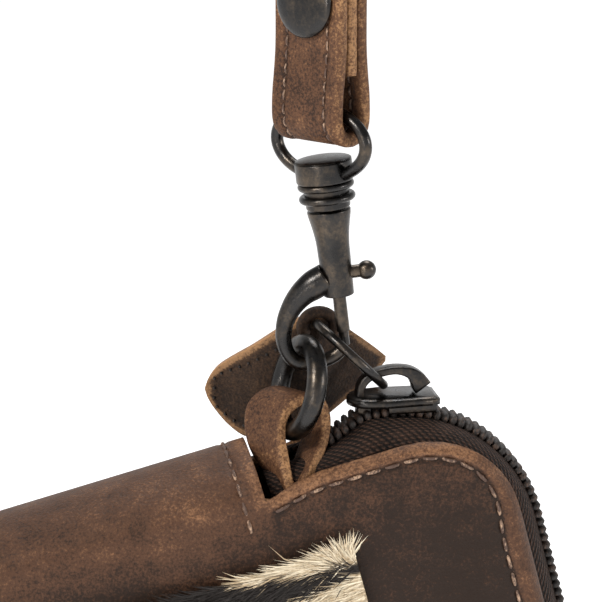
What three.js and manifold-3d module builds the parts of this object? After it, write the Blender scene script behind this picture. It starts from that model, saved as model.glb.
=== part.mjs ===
// A crossbody phone bag: a zip-round leather case with a hair-on hide panel, hung by a leather tab, an oval
// ring and a swivel snap from one long leather strap. Millimetres, +Z up, the bag's front faces -Y.
// The origin is the point inside the top of the strap's loop that rests on a shoulder.

import * as THREE from "three";
import { mergeVertices } from "three/addons/utils/BufferGeometryUtils.js";
import Module from "manifold-3d";

const wasm = await Module();
wasm.setup();

// The play between two pieces that meet
const GAP = 0.3;

// The strap: one leather strip, doubled round the snap's eye and riveted
const STRAP_WIDTH = 13.5;
const STRAP_THICK = 1.8;
const STRAP_LENGTH = 1150;
const STRAP_EDGE = 0.5;
const STRAP_YAW = -52.5;
const SHOULDER_RADIUS = 55;
const FOLD_INNER_RADIUS = 2.05;
const FRONT_LAYER_LENGTH = 33.2;
const END_LAYER_START = 10.5;
const SNAP_HEIGHT = 21.1;
const PART_HEIGHT = 37;

// The rivet snap through the strap
const SNAP_CAP_RADIUS = 5.35;
const SNAP_CAP_RISE = 1.5;
const SNAP_POST_RADIUS = 1.5;
const SNAP_BACK_RADIUS = 4;
const SNAP_BACK_THICK = 0.9;
const NECK_TOP = SNAP_HEIGHT - SNAP_CAP_RADIUS - GAP;

// The swivel snap hook
const CLASP_LEAN = -7;
const HOOK_YAW = -8.5;
const EYE_HALF_WIDTH = 9.05;
const EYE_HALF_HEIGHT = 5.2;
const EYE_WIRE_RADIUS = 0.95;
const EYE_RISE = 2.7;
const BOSS_RADIUS = 4.3;
const BOSS_HEIGHT = 3.15;
const COLLAR_RADIUS = 4.25;
const COLLAR_WIRE = 0.58;
const COLLAR_PITCH = 1.89;
const HEAD_RADIUS = 3.4;
const HEAD_THICK = 0.6;
const POST_RADIUS = 1.5;
const BARREL_TOP_RADIUS = 3.3;
const BARREL_WAIST_RADIUS = 2.45;
const BARREL_RADIUS = 2.3;
const BARREL_LENGTH = 13.2;
const GATE_RADIUS = 1;
const GATE_TIP_RADIUS = 0.75;
const GATE_TIP_LENGTH = 2.2;
const GATE_TRAVEL = 5;
const KNOB_DOWN = 17.4;
const KNOB_REACH = 4.55;
const KNOB_ROD_RADIUS = 1;
const KNOB_BALL_RADIUS = 1.45;
const HOOK_WIDTH = 9.1;
const HOOK_LENGTH = 30.9;
const HOOK_WIRE_RADIUS = 1.05;
const HOOK_SEAT_ACROSS = 5.8;

// The ring between the hook and the bag's tab
const RING_RADIUS = 6.65;
const RING_WIRE_RADIUS = 1.55;
const RING_YAW = -77;
const RING_TILT = -14;

// The leather tab that holds the ring
const TAB_WIDTH = 6.4;
const TAB_THICK = 1.7;
const TAB_ACROSS = 7.1;
const TAB_RISE = 10.7;
const TAB_YAW = 13;

// The case: two leather panels that meet in a fold at the top, and a zip round the rest
const BAG_TILT = -15;
const BAG_WIDTH = 129;
const BAG_HEIGHT = 190;
const BAG_DEPTH = 22;
const LEATHER_THICK = 1.8;
const LEATHER_SIDE_STEP = 4.3;
const LEATHER_END_STEP = 4.6;
const LEATHER_CORNER = 15;
const PANEL_ROLL = 1.1;
const PANEL_ROLL_WIDTH = 10;
const NOTCH_INSET = 41.3;
const FOLD_RISE = 6;
const FOLD_LEG = 6.3;
const ZIP_CORNER = 24;
const ZIP_DIP = 2.5;
const ZIP_START = 10.3;
const ZIP_DIP_LENGTH = 9;
const CHAIN_WIDTH = 5.4;
const CHAIN_THICK = 2.4;
const TAPE_THICK = 0.7;
const TAPE_TUCK = 3;

// The zip's slider, with an open arched bail
const SLIDER_ANGLE = 14;
const SLIDER_LENGTH = 13.9;
const SLIDER_WIDTH = 9.4;
const SLIDER_PLATE = 1.2;
const SLIDER_KEEL_WIDTH = 5.6;
const SLIDER_KEEL_LENGTH = 8;
const SLIDER_POST = 1.6;
const SLIDER_POST_X = 3.6;
const BAIL_WIDTH = 2.6;
const BAIL_THICK = 1.25;
const BAIL_TIP_THICK = 2.8;
const BAIL_SPAN = 10.4;
const BAIL_RISE = 3.9;

// The puller's ring and its leather pull
const PULLER_RING_RADIUS = 6.9;
const PULLER_WIRE_RADIUS = 0.72;
const PULLER_LIFT = 0.95;
const PULLER_FORWARD = 1.2;
const PULL_LENGTH = 20.5;
const PULL_THICK = 2;
const PULL_HOLE_RADIUS = 1.5;
const PULL_LEAN = 0.3;
const PULL_DROOP = 0.24;
const PULL_WINGS = {
  left: { side: -1, spread: 0.45, stretch: 0.97 },
  right: { side: 1, spread: 0.7, stretch: 1.2 },
};

// The hair-on hide panel on the front
const PATCH_WIDTH = 67.6;
const PATCH_TOP_MARGIN = 10.5;
const PATCH_THICK = 1.4;
const PATCH_CORNER = 1.5;

// Sizes that follow from those above
const AXIS_Y = new THREE.Vector3(0, 1, 0);
const AXIS_Z = new THREE.Vector3(0, 0, 1);
const HALF_DEPTH = BAG_DEPTH / 2;
const NOTCH_X = BAG_WIDTH / 2 - NOTCH_INSET;
const CHAIN_TOP = FOLD_RISE;
const CHAIN_BOTTOM = CHAIN_TOP - BAG_HEIGHT;
const CHAIN_RECT = {
  half: BAG_WIDTH / 2,
  top: CHAIN_TOP,
  bottom: CHAIN_BOTTOM,
  corner: ZIP_CORNER,
};
const LEATHER_RECT = {
  half: BAG_WIDTH / 2 - LEATHER_SIDE_STEP,
  top: CHAIN_TOP - LEATHER_END_STEP,
  bottom: CHAIN_BOTTOM + LEATHER_END_STEP,
  corner: LEATHER_CORNER,
};
const BARREL_TOP = BOSS_HEIGHT + 2 * COLLAR_PITCH + COLLAR_WIRE;
const BARREL_BOTTOM = BARREL_TOP + BARREL_LENGTH;
const BORE_RADIUS = GATE_RADIUS + GAP;
const GATE_TOP = KNOB_DOWN - KNOB_ROD_RADIUS - GAP;

const radians = THREE.MathUtils.degToRad;

// A closed surface from points and triangles, with its faces turned outwards
function surface(points, faces) {
  const volume = faces.reduce((sum, [a, b, c]) => {
    const across = new THREE.Vector3().crossVectors(points[b], points[c]);
    return sum + points[a].dot(across);
  }, 0);
  const order = volume < 0 ? [0, 2, 1] : [0, 1, 2];
  const geometry = new THREE.BufferGeometry().setFromPoints(points);
  geometry.setIndex(faces.flatMap((face) => order.map((i) => face[i])));
  return geometry;
}

// The geometry with only its positions, and the shared ones merged
function welded(geometry) {
  const bare = geometry.clone();
  bare.deleteAttribute("normal");
  bare.deleteAttribute("uv");
  const merged = mergeVertices(bare, 1e-3);
  const at = merged.getAttribute("position");
  const points = Array.from({ length: at.count }, (_, i) => {
    return new THREE.Vector3().fromBufferAttribute(at, i);
  });
  const faces = [];
  for (let i = 0; i < merged.index.count; i += 3) {
    const face = [0, 1, 2].map((k) => merged.index.getX(i + k));
    if (new Set(face).size === 3) faces.push(face);
  }
  return surface(points, faces);
}

function solid(geometry) {
  const closed = welded(geometry);
  const vertProperties = closed.getAttribute("position").array;
  const triVerts = new Uint32Array(closed.index.array);
  return new wasm.Manifold(new wasm.Mesh({ numProp: 3, vertProperties, triVerts }));
}

function geometryOf(body) {
  const mesh = body.getMesh();
  const geometry = new THREE.BufferGeometry();
  geometry.setAttribute("position", new THREE.BufferAttribute(mesh.vertProperties, 3));
  geometry.setIndex(new THREE.BufferAttribute(mesh.triVerts, 1));
  return geometry;
}

// A body through rings of points. The first ring's outline, flat and counter-clockwise, closes the ends,
// and a closed body joins its last ring to its first instead.
function swept(rings, outline, closed = false) {
  const count = rings[0].length;
  const faces = [];
  const last = closed ? rings.length : rings.length - 1;
  for (let i = 0; i < last; i += 1) {
    const next = (i + 1) % rings.length;
    for (let j = 0; j < count; j += 1) {
      const k = (j + 1) % count;
      const [a, b, c, d] = [i * count + j, i * count + k, next * count + k, next * count + j];
      faces.push([a, b, c], [a, c, d]);
    }
  }
  if (!closed) {
    const cap = THREE.ShapeUtils.triangulateShape(outline, []);
    const end = (rings.length - 1) * count;
    cap.forEach(([a, b, c]) => {
      faces.push([c, b, a], [end + a, end + b, end + c]);
    });
  }
  return surface(rings.flat(), faces);
}

function counterClockwise(outline) {
  return THREE.ShapeUtils.isClockWise(outline) ? [...outline].reverse() : outline;
}

// A body of revolution about Z, from pairs of radius and height
function turned(profile, sides = 24) {
  const points = profile.map(([radius, height]) => new THREE.Vector2(radius, height));
  return new THREE.LatheGeometry(points, sides).rotateX(Math.PI / 2);
}

function circle(radius, sides) {
  return Array.from({ length: sides }, (_, i) => {
    const angle = (i / sides) * 2 * Math.PI;
    return new THREE.Vector2(radius * Math.cos(angle), radius * Math.sin(angle));
  });
}

// A flat section carried along a path in the XZ plane. Each section point is (out of the path, along Y).
function along(path, sectionAt, closed = false) {
  const rings = path.map((point, i) => {
    const before = path[closed ? (i + path.length - 1) % path.length : Math.max(i - 1, 0)];
    const after = path[closed ? (i + 1) % path.length : Math.min(i + 1, path.length - 1)];
    const run = after.clone().sub(before).normalize();
    return sectionAt(i / (path.length - 1)).map(({ x, y }) => {
      return new THREE.Vector3(point.x - run.y * x, y, point.y + run.x * x);
    });
  });
  return swept(rings, counterClockwise(sectionAt(0)), closed);
}

// A flat strap's section with softened edges
function strapSection(thick, width, edge) {
  const [t, w] = [thick / 2, width / 2];
  return [
    new THREE.Vector2(-t, -w + edge),
    new THREE.Vector2(-t + edge, -w),
    new THREE.Vector2(t - edge, -w),
    new THREE.Vector2(t, -w + edge),
    new THREE.Vector2(t, w - edge),
    new THREE.Vector2(t - edge, w),
    new THREE.Vector2(-t + edge, w),
    new THREE.Vector2(-t, w - edge),
  ];
}

function arc(centre, radius, from, to, steps) {
  return Array.from({ length: steps + 1 }, (_, i) => {
    const angle = radians(from + ((to - from) * i) / steps);
    return new THREE.Vector2(
      centre.x + radius * Math.cos(angle),
      centre.y + radius * Math.sin(angle),
    );
  });
}

// Rounded rectangles: how far a point lies outside one, and how far a ray from inside reaches its edge
function outside(point, rect) {
  const middle = (rect.top + rect.bottom) / 2;
  const tall = (rect.top - rect.bottom) / 2;
  const dx = Math.abs(point.x) - rect.half + rect.corner;
  const dz = Math.abs(point.y - middle) - tall + rect.corner;
  const corner = Math.hypot(Math.max(dx, 0), Math.max(dz, 0));
  return corner + Math.min(Math.max(dx, dz), 0) - rect.corner;
}

function reach(base, out, rect) {
  let [near, far] = [0, rect.half + rect.top - rect.bottom];
  for (let i = 0; i < 40; i += 1) {
    const middle = (near + far) / 2;
    if (outside(base.clone().addScaledVector(out, middle), rect) < 0) near = middle;
    else far = middle;
  }
  return near;
}

// A station of the bag's edge: rays leave an inner rectangle straight out, and fan round its corners
function station(x, z, angle, dip = 0) {
  const base = new THREE.Vector2(x, z);
  const out = new THREE.Vector2(Math.sin(radians(angle)), Math.cos(radians(angle)));
  return {
    base,
    out,
    leather: reach(base, out, LEATHER_RECT),
    chain: reach(base, out, CHAIN_RECT) - dip,
  };
}

const INNER_X = BAG_WIDTH / 2 - ZIP_CORNER;
const INNER_TOP = CHAIN_TOP - ZIP_CORNER;
const INNER_BOTTOM = CHAIN_BOTTOM + ZIP_CORNER;
const CORNERS = [
  { x: INNER_X, z: INNER_TOP, from: 0 },
  { x: INNER_X, z: INNER_BOTTOM, from: 90 },
  { x: -INNER_X, z: INNER_BOTTOM, from: 180 },
  { x: -INNER_X, z: INNER_TOP, from: 270 },
];
const CORNER_STEPS = 7;
const cornerStations = CORNERS.flatMap(({ x, z, from }) => {
  return Array.from({ length: CORNER_STEPS + 1 }, (_, i) => {
    return station(x, z, from + (90 * i) / CORNER_STEPS);
  });
});

// The zip dips into the notch at each end of the fold
const DIP_STEPS = 6;
const dipStations = Array.from({ length: DIP_STEPS }, (_, i) => {
  const share = i / DIP_STEPS;
  const level = THREE.MathUtils.smoothstep(share, 0, 1);
  const x = NOTCH_X + ZIP_START + ZIP_DIP_LENGTH * share;
  return station(Math.min(x, INNER_X), INNER_TOP, 0, ZIP_DIP * (1 - level));
});
const mirrored = [...dipStations].reverse().map((s) => ({
  ...s,
  base: new THREE.Vector2(-s.base.x, s.base.y),
}));
const zipStations = [...dipStations, ...cornerStations, ...mirrored];

function at(stop, distance, y) {
  const point = stop.base.clone().addScaledVector(stop.out, distance);
  return new THREE.Vector3(point.x, y, point.y);
}

const root = new THREE.Group();
const hang = new THREE.Group();
root.add(hang);

const FINISH = {
  brownLeather: { color: 0x6b4a36, roughness: 0.75, metalness: 0 },
  darkLeather: { color: 0x3c2c24, roughness: 0.7, metalness: 0 },
  gunmetal: { color: 0x3e3d3d, roughness: 0.35, metalness: 0.9 },
  tape: { color: 0x3d2e26, roughness: 0.9, metalness: 0 },
  hide: { color: 0xcbbb9f, roughness: 0.95, metalness: 0 },
};

function piece(parent, name, finish, geometry) {
  const mesh = new THREE.Mesh(geometry, new THREE.MeshStandardMaterial(FINISH[finish]));
  mesh.name = name;
  parent.add(mesh);
  return mesh;
}

// A frame inside another: where it stands, and its turn about Y or Z in degrees
function frame(parent, position, { yaw = 0, lean = 0, pitch = 0 } = {}) {
  const group = new THREE.Group();
  group.position.copy(position);
  group.rotation.set(radians(pitch), radians(lean), radians(yaw), "ZXY");
  parent.add(group);
  return group;
}

// Where things hang. The hook's seat is the origin of the hanging parts.
const seat = new THREE.Vector3(-HOOK_SEAT_ACROSS, 0, -(HOOK_LENGTH - HOOK_WIRE_RADIUS))
  .applyAxisAngle(AXIS_Z, radians(HOOK_YAW))
  .applyAxisAngle(AXIS_Y, radians(CLASP_LEAN));
const clasp = frame(hang, seat.clone().negate(), { lean: CLASP_LEAN });
const eyeCentre = new THREE.Vector3(0, 0, EYE_RISE)
  .applyAxisAngle(AXIS_Y, radians(CLASP_LEAN))
  .sub(seat);
const strapFrame = frame(hang, eyeCentre, { yaw: STRAP_YAW });
const eyeFrame = frame(clasp, new THREE.Vector3(), { yaw: STRAP_YAW });
const hookFrame = frame(clasp, new THREE.Vector3(), { yaw: HOOK_YAW });
const ringTop = new THREE.Vector3(0, 0, GAP + RING_WIRE_RADIUS);
const ringFrame = frame(hang, ringTop, { yaw: RING_YAW, pitch: RING_TILT });
const ringBottom = new THREE.Vector3(0, 0, -2 * RING_RADIUS)
  .applyEuler(ringFrame.rotation)
  .add(ringTop);

// The strap's path, in its own plane: x is towards the front, y is up from the eye's centre
function strapPath() {
  const t = STRAP_THICK;
  const layer = t + GAP;
  const radius = FOLD_INNER_RADIUS + t / 2;
  const edge = STRAP_WIDTH / 2 / EYE_HALF_WIDTH;
  const wire = EYE_HALF_HEIGHT * Math.sqrt(1 - edge * edge);
  const sink = STRAP_WIDTH * 0.5 * Math.tan(radians(-CLASP_LEAN)) * Math.cos(radians(STRAP_YAW));
  const foldZ = wire - sink - EYE_WIRE_RADIUS - GAP + FOLD_INNER_RADIUS;
  // Shares of the rise from the fold to the rivet, and how open the doubled strap still is there
  const neck = [
    { rise: 0.3, open: 0.9 },
    { rise: 0.55, open: 0.45 },
    { rise: 0.8, open: 0.1 },
  ];
  const rise = NECK_TOP - foldZ;
  const side = (sign) =>
    neck.map((row) => {
      const x = layer + (radius - layer) * row.open;
      return new THREE.Vector2(sign * x, foldZ + rise * row.rise);
    });
  const front = [new THREE.Vector2(layer, FRONT_LAYER_LENGTH), new THREE.Vector2(layer, NECK_TOP)];
  const fold = arc(new THREE.Vector2(0, foldZ), radius, 0, -180, 10);
  const back = [new THREE.Vector2(-layer, NECK_TOP), new THREE.Vector2(-layer, PART_HEIGHT)];
  const doubled = [...front, ...side(1).reverse(), ...fold, ...side(-1), ...back];
  const end = [new THREE.Vector2(0, PART_HEIGHT), new THREE.Vector2(0, END_LAYER_START)];
  const lengthOf = (points) => points.slice(1).reduce((sum, p, i) => sum + p.distanceTo(points[i]), 0);
  const spare = STRAP_LENGTH - lengthOf(doubled) - lengthOf(end);
  // The height of the shoulder's curve at which both legs and the curve take up the rest
  let [low, high] = [SHOULDER_RADIUS, spare];
  for (let i = 0; i < 50; i += 1) {
    const height = (low + high) / 2;
    const leg = Math.sqrt(height * height - SHOULDER_RADIUS * SHOULDER_RADIUS);
    const wrap = Math.PI + 2 * Math.asin(SHOULDER_RADIUS / height);
    if (2 * leg + SHOULDER_RADIUS * wrap < spare) low = height;
    else high = height;
  }
  const centre = new THREE.Vector2(-layer / 2, PART_HEIGHT + low);
  const slope = THREE.MathUtils.radToDeg(Math.asin(SHOULDER_RADIUS / low));
  const over = arc(centre, SHOULDER_RADIUS, 180 + slope, -slope, 24);
  return { path: [...doubled, ...over, ...end], centre };
}

const strap = strapPath();
const section = strapSection(STRAP_THICK, STRAP_WIDTH, STRAP_EDGE);
// The path's plane stands across the strap's width
const toWidth = (geometry) => geometry.rotateZ(-Math.PI / 2);
const rivetHole = new THREE.CylinderGeometry(SNAP_POST_RADIUS + GAP, SNAP_POST_RADIUS + GAP, 30, 16);
rivetHole.translate(0, 0, SNAP_HEIGHT);
const strapBody = solid(toWidth(along(strap.path, () => section))).subtract(solid(rivetHole));
piece(strapFrame, "strap", "brownLeather", geometryOf(strapBody));

// The rivet snap: a low dome in front, a post through three layers and a flat back
function snapProfile() {
  const face = 1.5 * STRAP_THICK + 2 * GAP;
  const back = face + SNAP_BACK_THICK;
  const dome = Array.from({ length: 6 }, (_, i) => {
    const angle = (i / 5) * (Math.PI / 2);
    const rise = face + 0.35 + (SNAP_CAP_RISE - 0.35) * Math.sin(angle);
    return [SNAP_CAP_RADIUS * Math.cos(angle), rise];
  });
  dome[5][0] = 0;
  return [
    [0, -back],
    [SNAP_BACK_RADIUS - 0.4, -back],
    [SNAP_BACK_RADIUS, -back + 0.4],
    [SNAP_BACK_RADIUS, -face],
    [SNAP_POST_RADIUS, -face],
    [SNAP_POST_RADIUS, face],
    [SNAP_CAP_RADIUS, face],
    ...dome,
  ];
}
const snap = welded(turned(snapProfile(), 20)).rotateX(Math.PI / 2);
piece(strapFrame, "strap_snap", "gunmetal", snap.translate(0, 0, SNAP_HEIGHT));

// The snap's eye: an oval ring, a boss and two collars, cast in one
function eyeBody() {
  const ovalPath = Array.from({ length: 28 }, (_, i) => {
    const angle = (i / 28) * 2 * Math.PI;
    return new THREE.Vector2(
      EYE_HALF_WIDTH * Math.cos(angle),
      EYE_RISE + EYE_HALF_HEIGHT * Math.sin(angle),
    );
  });
  const oval = along(ovalPath, () => circle(EYE_WIRE_RADIUS, 8), true);
  const groove = COLLAR_RADIUS - COLLAR_WIRE;
  const boss = turned([
    [0, 0],
    [BOSS_RADIUS - 0.2, 0],
    [BOSS_RADIUS, -0.25],
    [BOSS_RADIUS, -BOSS_HEIGHT + 0.3],
    [BOSS_RADIUS - 0.3, -BOSS_HEIGHT],
    [groove, -BOSS_HEIGHT],
    [groove, -BARREL_TOP + GAP],
    [0, -BARREL_TOP + GAP],
  ]);
  const collars = [0, 1].map((turns) => {
    const ring = new THREE.TorusGeometry(COLLAR_RADIUS - COLLAR_WIRE, COLLAR_WIRE, 8, 24);
    return ring.translate(0, 0, -BOSS_HEIGHT - COLLAR_WIRE - COLLAR_PITCH * turns);
  });
  const bore = turned([
    [0, 1],
    [HEAD_RADIUS + GAP, 1],
    [HEAD_RADIUS + GAP, -HEAD_THICK - GAP],
    [POST_RADIUS + GAP, -HEAD_THICK - GAP],
    [POST_RADIUS + GAP, -BARREL_TOP - 1],
    [0, -BARREL_TOP - 1],
  ]);
  return [boss, ...collars].reduce((sum, g) => sum.add(solid(g)), solid(oval)).subtract(solid(bore));
}
piece(eyeFrame, "clasp_eye", "gunmetal", geometryOf(eyeBody()));

// The hook: a riveted head and post, a waisted barrel with a slot for the knob, and a tapered horn
function barrelProfile() {
  const waist = Array.from({ length: 6 }, (_, i) => {
    const share = (i + 1) / 6;
    const drop = Math.sin((share * Math.PI) / 2);
    return [
      BARREL_TOP_RADIUS + (BARREL_WAIST_RADIUS - BARREL_TOP_RADIUS) * drop,
      -BARREL_TOP - 0.4 - 0.45 * BARREL_LENGTH * share,
    ];
  });
  const bore = GATE_TOP - GATE_TRAVEL - GAP;
  return [
    [0, 0],
    [HEAD_RADIUS - 0.15, 0],
    [HEAD_RADIUS, -0.15],
    [HEAD_RADIUS, -HEAD_THICK],
    [POST_RADIUS, -HEAD_THICK],
    [POST_RADIUS, -BARREL_TOP],
    [BARREL_TOP_RADIUS - 0.25, -BARREL_TOP],
    [BARREL_TOP_RADIUS, -BARREL_TOP - 0.3],
    ...waist,
    [BARREL_RADIUS, -BARREL_BOTTOM + 0.2],
    [BARREL_RADIUS - 0.2, -BARREL_BOTTOM],
    [BORE_RADIUS, -BARREL_BOTTOM],
    [BORE_RADIUS, -bore],
    [0, -bore],
  ];
}

// The horn's middle line as shares of the hook's width and length, and its thickness as a share of its wire's
const HORN = [
  { across: 0.17, down: 0.575, thick: 2.1 },
  { across: 0.4, down: 0.608, thick: 2.15 },
  { across: 0.6, down: 0.645, thick: 1.85 },
  { across: 0.78, down: 0.698, thick: 1.55 },
  { across: 0.93, down: 0.77, thick: 1.3 },
  { across: 1.0, down: 0.85, thick: 1.15 },
  { across: 0.975, down: 0.925, thick: 1.08 },
  { across: 0.85, down: 0.98, thick: 1.04 },
  { across: 0.64, down: 1.0, thick: 1 },
  { across: 0.42, down: 0.996, thick: 1 },
  { across: 0.2, down: 0.975, thick: 0.97 },
  { across: 0.05, down: 0.945, thick: 0.92 },
];

const HORN_END = HOOK_LENGTH * HORN.at(-1).down - 0.3;

function hornBody() {
  const curve = new THREE.CatmullRomCurve3(
    HORN.map((row) => {
      return new THREE.Vector3(-HOOK_WIDTH * row.across, HOOK_WIRE_RADIUS * row.thick, -HOOK_LENGTH * row.down);
    }),
  );
  const stops = curve.getPoints(26);
  const tip = stops.at(-1);
  stops.push(new THREE.Vector3(0, tip.y * 0.9, tip.z + 0.55));
  const path = stops.map((stop) => new THREE.Vector2(stop.x, stop.z));
  const sides = (share) => circle(stops[Math.round(share * (stops.length - 1))].y, 12);
  const cut = new THREE.BoxGeometry(5, 4, 5).translate(0, 0, -HORN_END + 2.5);
  return solid(along(path, sides)).subtract(solid(cut));
}

function hookBody() {
  const barrel = solid(turned(barrelProfile(), 24));
  const bore = new THREE.CylinderGeometry(BORE_RADIUS, BORE_RADIUS, BARREL_LENGTH, 24);
  bore.rotateX(Math.PI / 2).translate(0, 0, -BARREL_BOTTOM + BARREL_LENGTH / 2 - 0.45 * BARREL_LENGTH);
  const slotTop = KNOB_DOWN - GATE_TRAVEL - KNOB_ROD_RADIUS - GAP;
  const slotBottom = KNOB_DOWN + KNOB_ROD_RADIUS + GAP;
  const slot = new THREE.BoxGeometry(BARREL_TOP_RADIUS, 2 * (KNOB_ROD_RADIUS + GAP), slotBottom - slotTop);
  slot.translate(BARREL_TOP_RADIUS / 2, 0, -(slotTop + slotBottom) / 2);
  return hornBody().subtract(solid(bore)).add(barrel).subtract(solid(slot));
}
piece(hookFrame, "clasp_hook", "gunmetal", geometryOf(hookBody()));

// The gate: a sliding pin with a stepped tip, and the knob that draws it up
function gateBody() {
  const tip = HORN_END - GAP;
  const pin = turned([
    [0, -GATE_TOP],
    [GATE_RADIUS, -GATE_TOP],
    [GATE_RADIUS, -tip + GATE_TIP_LENGTH],
    [GATE_TIP_RADIUS, -tip + GATE_TIP_LENGTH],
    [GATE_TIP_RADIUS, -tip + 0.2],
    [GATE_TIP_RADIUS - 0.2, -tip],
    [0, -tip],
  ], 16);
  const rod = new THREE.CylinderGeometry(KNOB_ROD_RADIUS, KNOB_ROD_RADIUS, KNOB_REACH, 14);
  rod.rotateZ(Math.PI / 2).translate(KNOB_REACH / 2, 0, -KNOB_DOWN);
  const ball = new THREE.SphereGeometry(KNOB_BALL_RADIUS, 16, 12);
  ball.translate(KNOB_REACH, 0, -KNOB_DOWN);
  return solid(pin).add(solid(rod)).add(solid(ball));
}
piece(hookFrame, "clasp_gate", "gunmetal", geometryOf(gateBody()));

// The ring hangs from the hook's seat
const ring = new THREE.TorusGeometry(RING_RADIUS, RING_WIRE_RADIUS, 12, 30).rotateX(Math.PI / 2);
piece(ringFrame, "bag_ring", "gunmetal", welded(ring.translate(0, 0, -RING_RADIUS)));

// The tab's loop, from its root and back, as shares of its width and rise
const TAB_LOOP = [
  { across: -0.06, rise: 0 },
  { across: -0.1, rise: 0.29 },
  { across: -0.1, rise: 0.58 },
  { across: 0.03, rise: 0.81 },
  { across: 0.27, rise: 0.96 },
  { across: 0.55, rise: 1 },
  { across: 0.82, rise: 0.9 },
  { across: 0.92, rise: 0.67 },
  { across: 0.82, rise: 0.4 },
  { across: 0.5, rise: 0.17 },
  { across: 0.24, rise: 0 },
];
// Where the ring lies in the loop, as shares of the same sizes
const RING_IN_TAB = { across: 0.47, rise: 0.55 };
const tabRoot = ringBottom
  .clone()
  .sub(new THREE.Vector3(RING_IN_TAB.across * TAB_ACROSS, 0, RING_IN_TAB.rise * TAB_RISE))
  .setY(0);
const tabFrame = frame(hang, tabRoot, { yaw: TAB_YAW });
const tabCurve = new THREE.CatmullRomCurve3(
  TAB_LOOP.map((row) => new THREE.Vector3(TAB_ACROSS * row.across, TAB_RISE * row.rise, 0)),
);
const tabPath = tabCurve.getPoints(30).map((p) => new THREE.Vector2(p.x, p.y));
const tabSection = strapSection(TAB_THICK, TAB_WIDTH, 0.4);
piece(tabFrame, "ring_tab", "brownLeather", along(tabPath, () => tabSection));

// The bag hangs from the tab's root, in the notch at the right end of the fold
const ROOT_CLEAR = TAB_THICK / 2 + 2.5 * GAP + 0.4;
const bagAtRoot = new THREE.Vector3(NOTCH_X + ROOT_CLEAR, 0, ROOT_CLEAR - 0.5);
const bag = frame(
  hang,
  tabRoot.clone().sub(bagAtRoot.applyAxisAngle(AXIS_Y, radians(BAG_TILT))),
  { lean: BAG_TILT },
);

// A panel: its rings run from the flat outer face over the rolled edge to the inner face
function panelBody(side) {
  const t = LEATHER_THICK;
  const outer = (inset) => {
    const share = Math.max(0, 1 - inset / PANEL_ROLL_WIDTH);
    return HALF_DEPTH - PANEL_ROLL * share * share;
  };
  const rows = [
    { inset: PANEL_ROLL_WIDTH, y: outer(PANEL_ROLL_WIDTH) },
    { inset: 5.5, y: outer(5.5) },
    { inset: 2, y: outer(2) },
    { inset: 0.5, y: outer(0.5) - 0.1 },
    { inset: 0, y: outer(0) - t / 2 },
    { inset: 0.5, y: outer(0.5) - t + 0.1 },
    { inset: 2, y: outer(2) - t },
    { inset: 5.5, y: outer(5.5) - t },
    { inset: PANEL_ROLL_WIDTH, y: outer(PANEL_ROLL_WIDTH) - t },
  ];
  const rings = rows.map(({ inset, y }) => cornerStations.map((s) => at(s, s.leather - inset, side * y)));
  const flat = rings[0].map((p) => new THREE.Vector2(p.x, p.z));
  const body = solid(swept(rings.map((ring) => [...ring].reverse()), [...flat].reverse()));
  const top = new THREE.BoxGeometry(2 * NOTCH_X, BAG_DEPTH, 20);
  return body.subtract(solid(top.translate(0, side * HALF_DEPTH, 10 + FOLD_LEG * -0.95)));
}

// The fold over the top: an oval arch with short legs, between the two notches
function foldBody() {
  const t = LEATHER_THICK;
  const arch = (half, rise, from, to) => {
    return Array.from({ length: 13 }, (_, i) => {
      const angle = radians(from + ((to - from) * i) / 12);
      return new THREE.Vector2(half * Math.cos(angle), rise * Math.sin(angle));
    });
  };
  const outline = counterClockwise([
    new THREE.Vector2(HALF_DEPTH, -FOLD_LEG),
    ...arch(HALF_DEPTH, FOLD_RISE, 0, 180),
    new THREE.Vector2(-HALF_DEPTH, -FOLD_LEG),
    new THREE.Vector2(-HALF_DEPTH + t, -FOLD_LEG),
    ...arch(HALF_DEPTH - t, FOLD_RISE - t, 180, 0),
    new THREE.Vector2(HALF_DEPTH - t, -FOLD_LEG),
  ]);
  const rings = [-NOTCH_X, NOTCH_X].map((x) => outline.map((p) => new THREE.Vector3(x, p.x, p.y)));
  return solid(swept(rings, outline));
}
const leather = panelBody(-1).add(panelBody(1)).add(foldBody());
piece(bag, "leather_body", "darkLeather", geometryOf(leather));

// A tape runs from behind a panel's edge up to the chain
function tapeBody(side) {
  const t = TAPE_THICK;
  const inner = HALF_DEPTH - LEATHER_THICK - GAP;
  const edge = inner - PANEL_ROLL;
  const chainSide = CHAIN_WIDTH / 2 + GAP;
  const chainSink = (CHAIN_THICK - t) / 2;
  const rings = zipStations.map((s) => {
    const rise = s.chain - chainSink - s.leather;
    const bulge = edge + (chainSide - edge) * 0.45;
    return [
      at(s, s.leather - TAPE_TUCK, side * (inner - PANEL_ROLL * 0.55)),
      at(s, s.leather, side * edge),
      at(s, s.leather + rise * 0.62, side * bulge),
      at(s, s.leather + rise, side * chainSide),
      at(s, s.leather + rise - t, side * chainSide),
      at(s, s.leather + rise * 0.62 - t, side * (bulge - t * 0.6)),
      at(s, s.leather - t * 0.4, side * (edge - t)),
      at(s, s.leather - TAPE_TUCK, side * (inner - PANEL_ROLL * 0.55 - t)),
    ];
  });
  const flat = counterClockwise(rings[0].map((p) => new THREE.Vector2(side * p.y, p.z)));
  return swept(rings, flat);
}
piece(bag, "zip_tape_front", "tape", tapeBody(-1));
piece(bag, "zip_tape_back", "tape", tapeBody(1));

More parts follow.
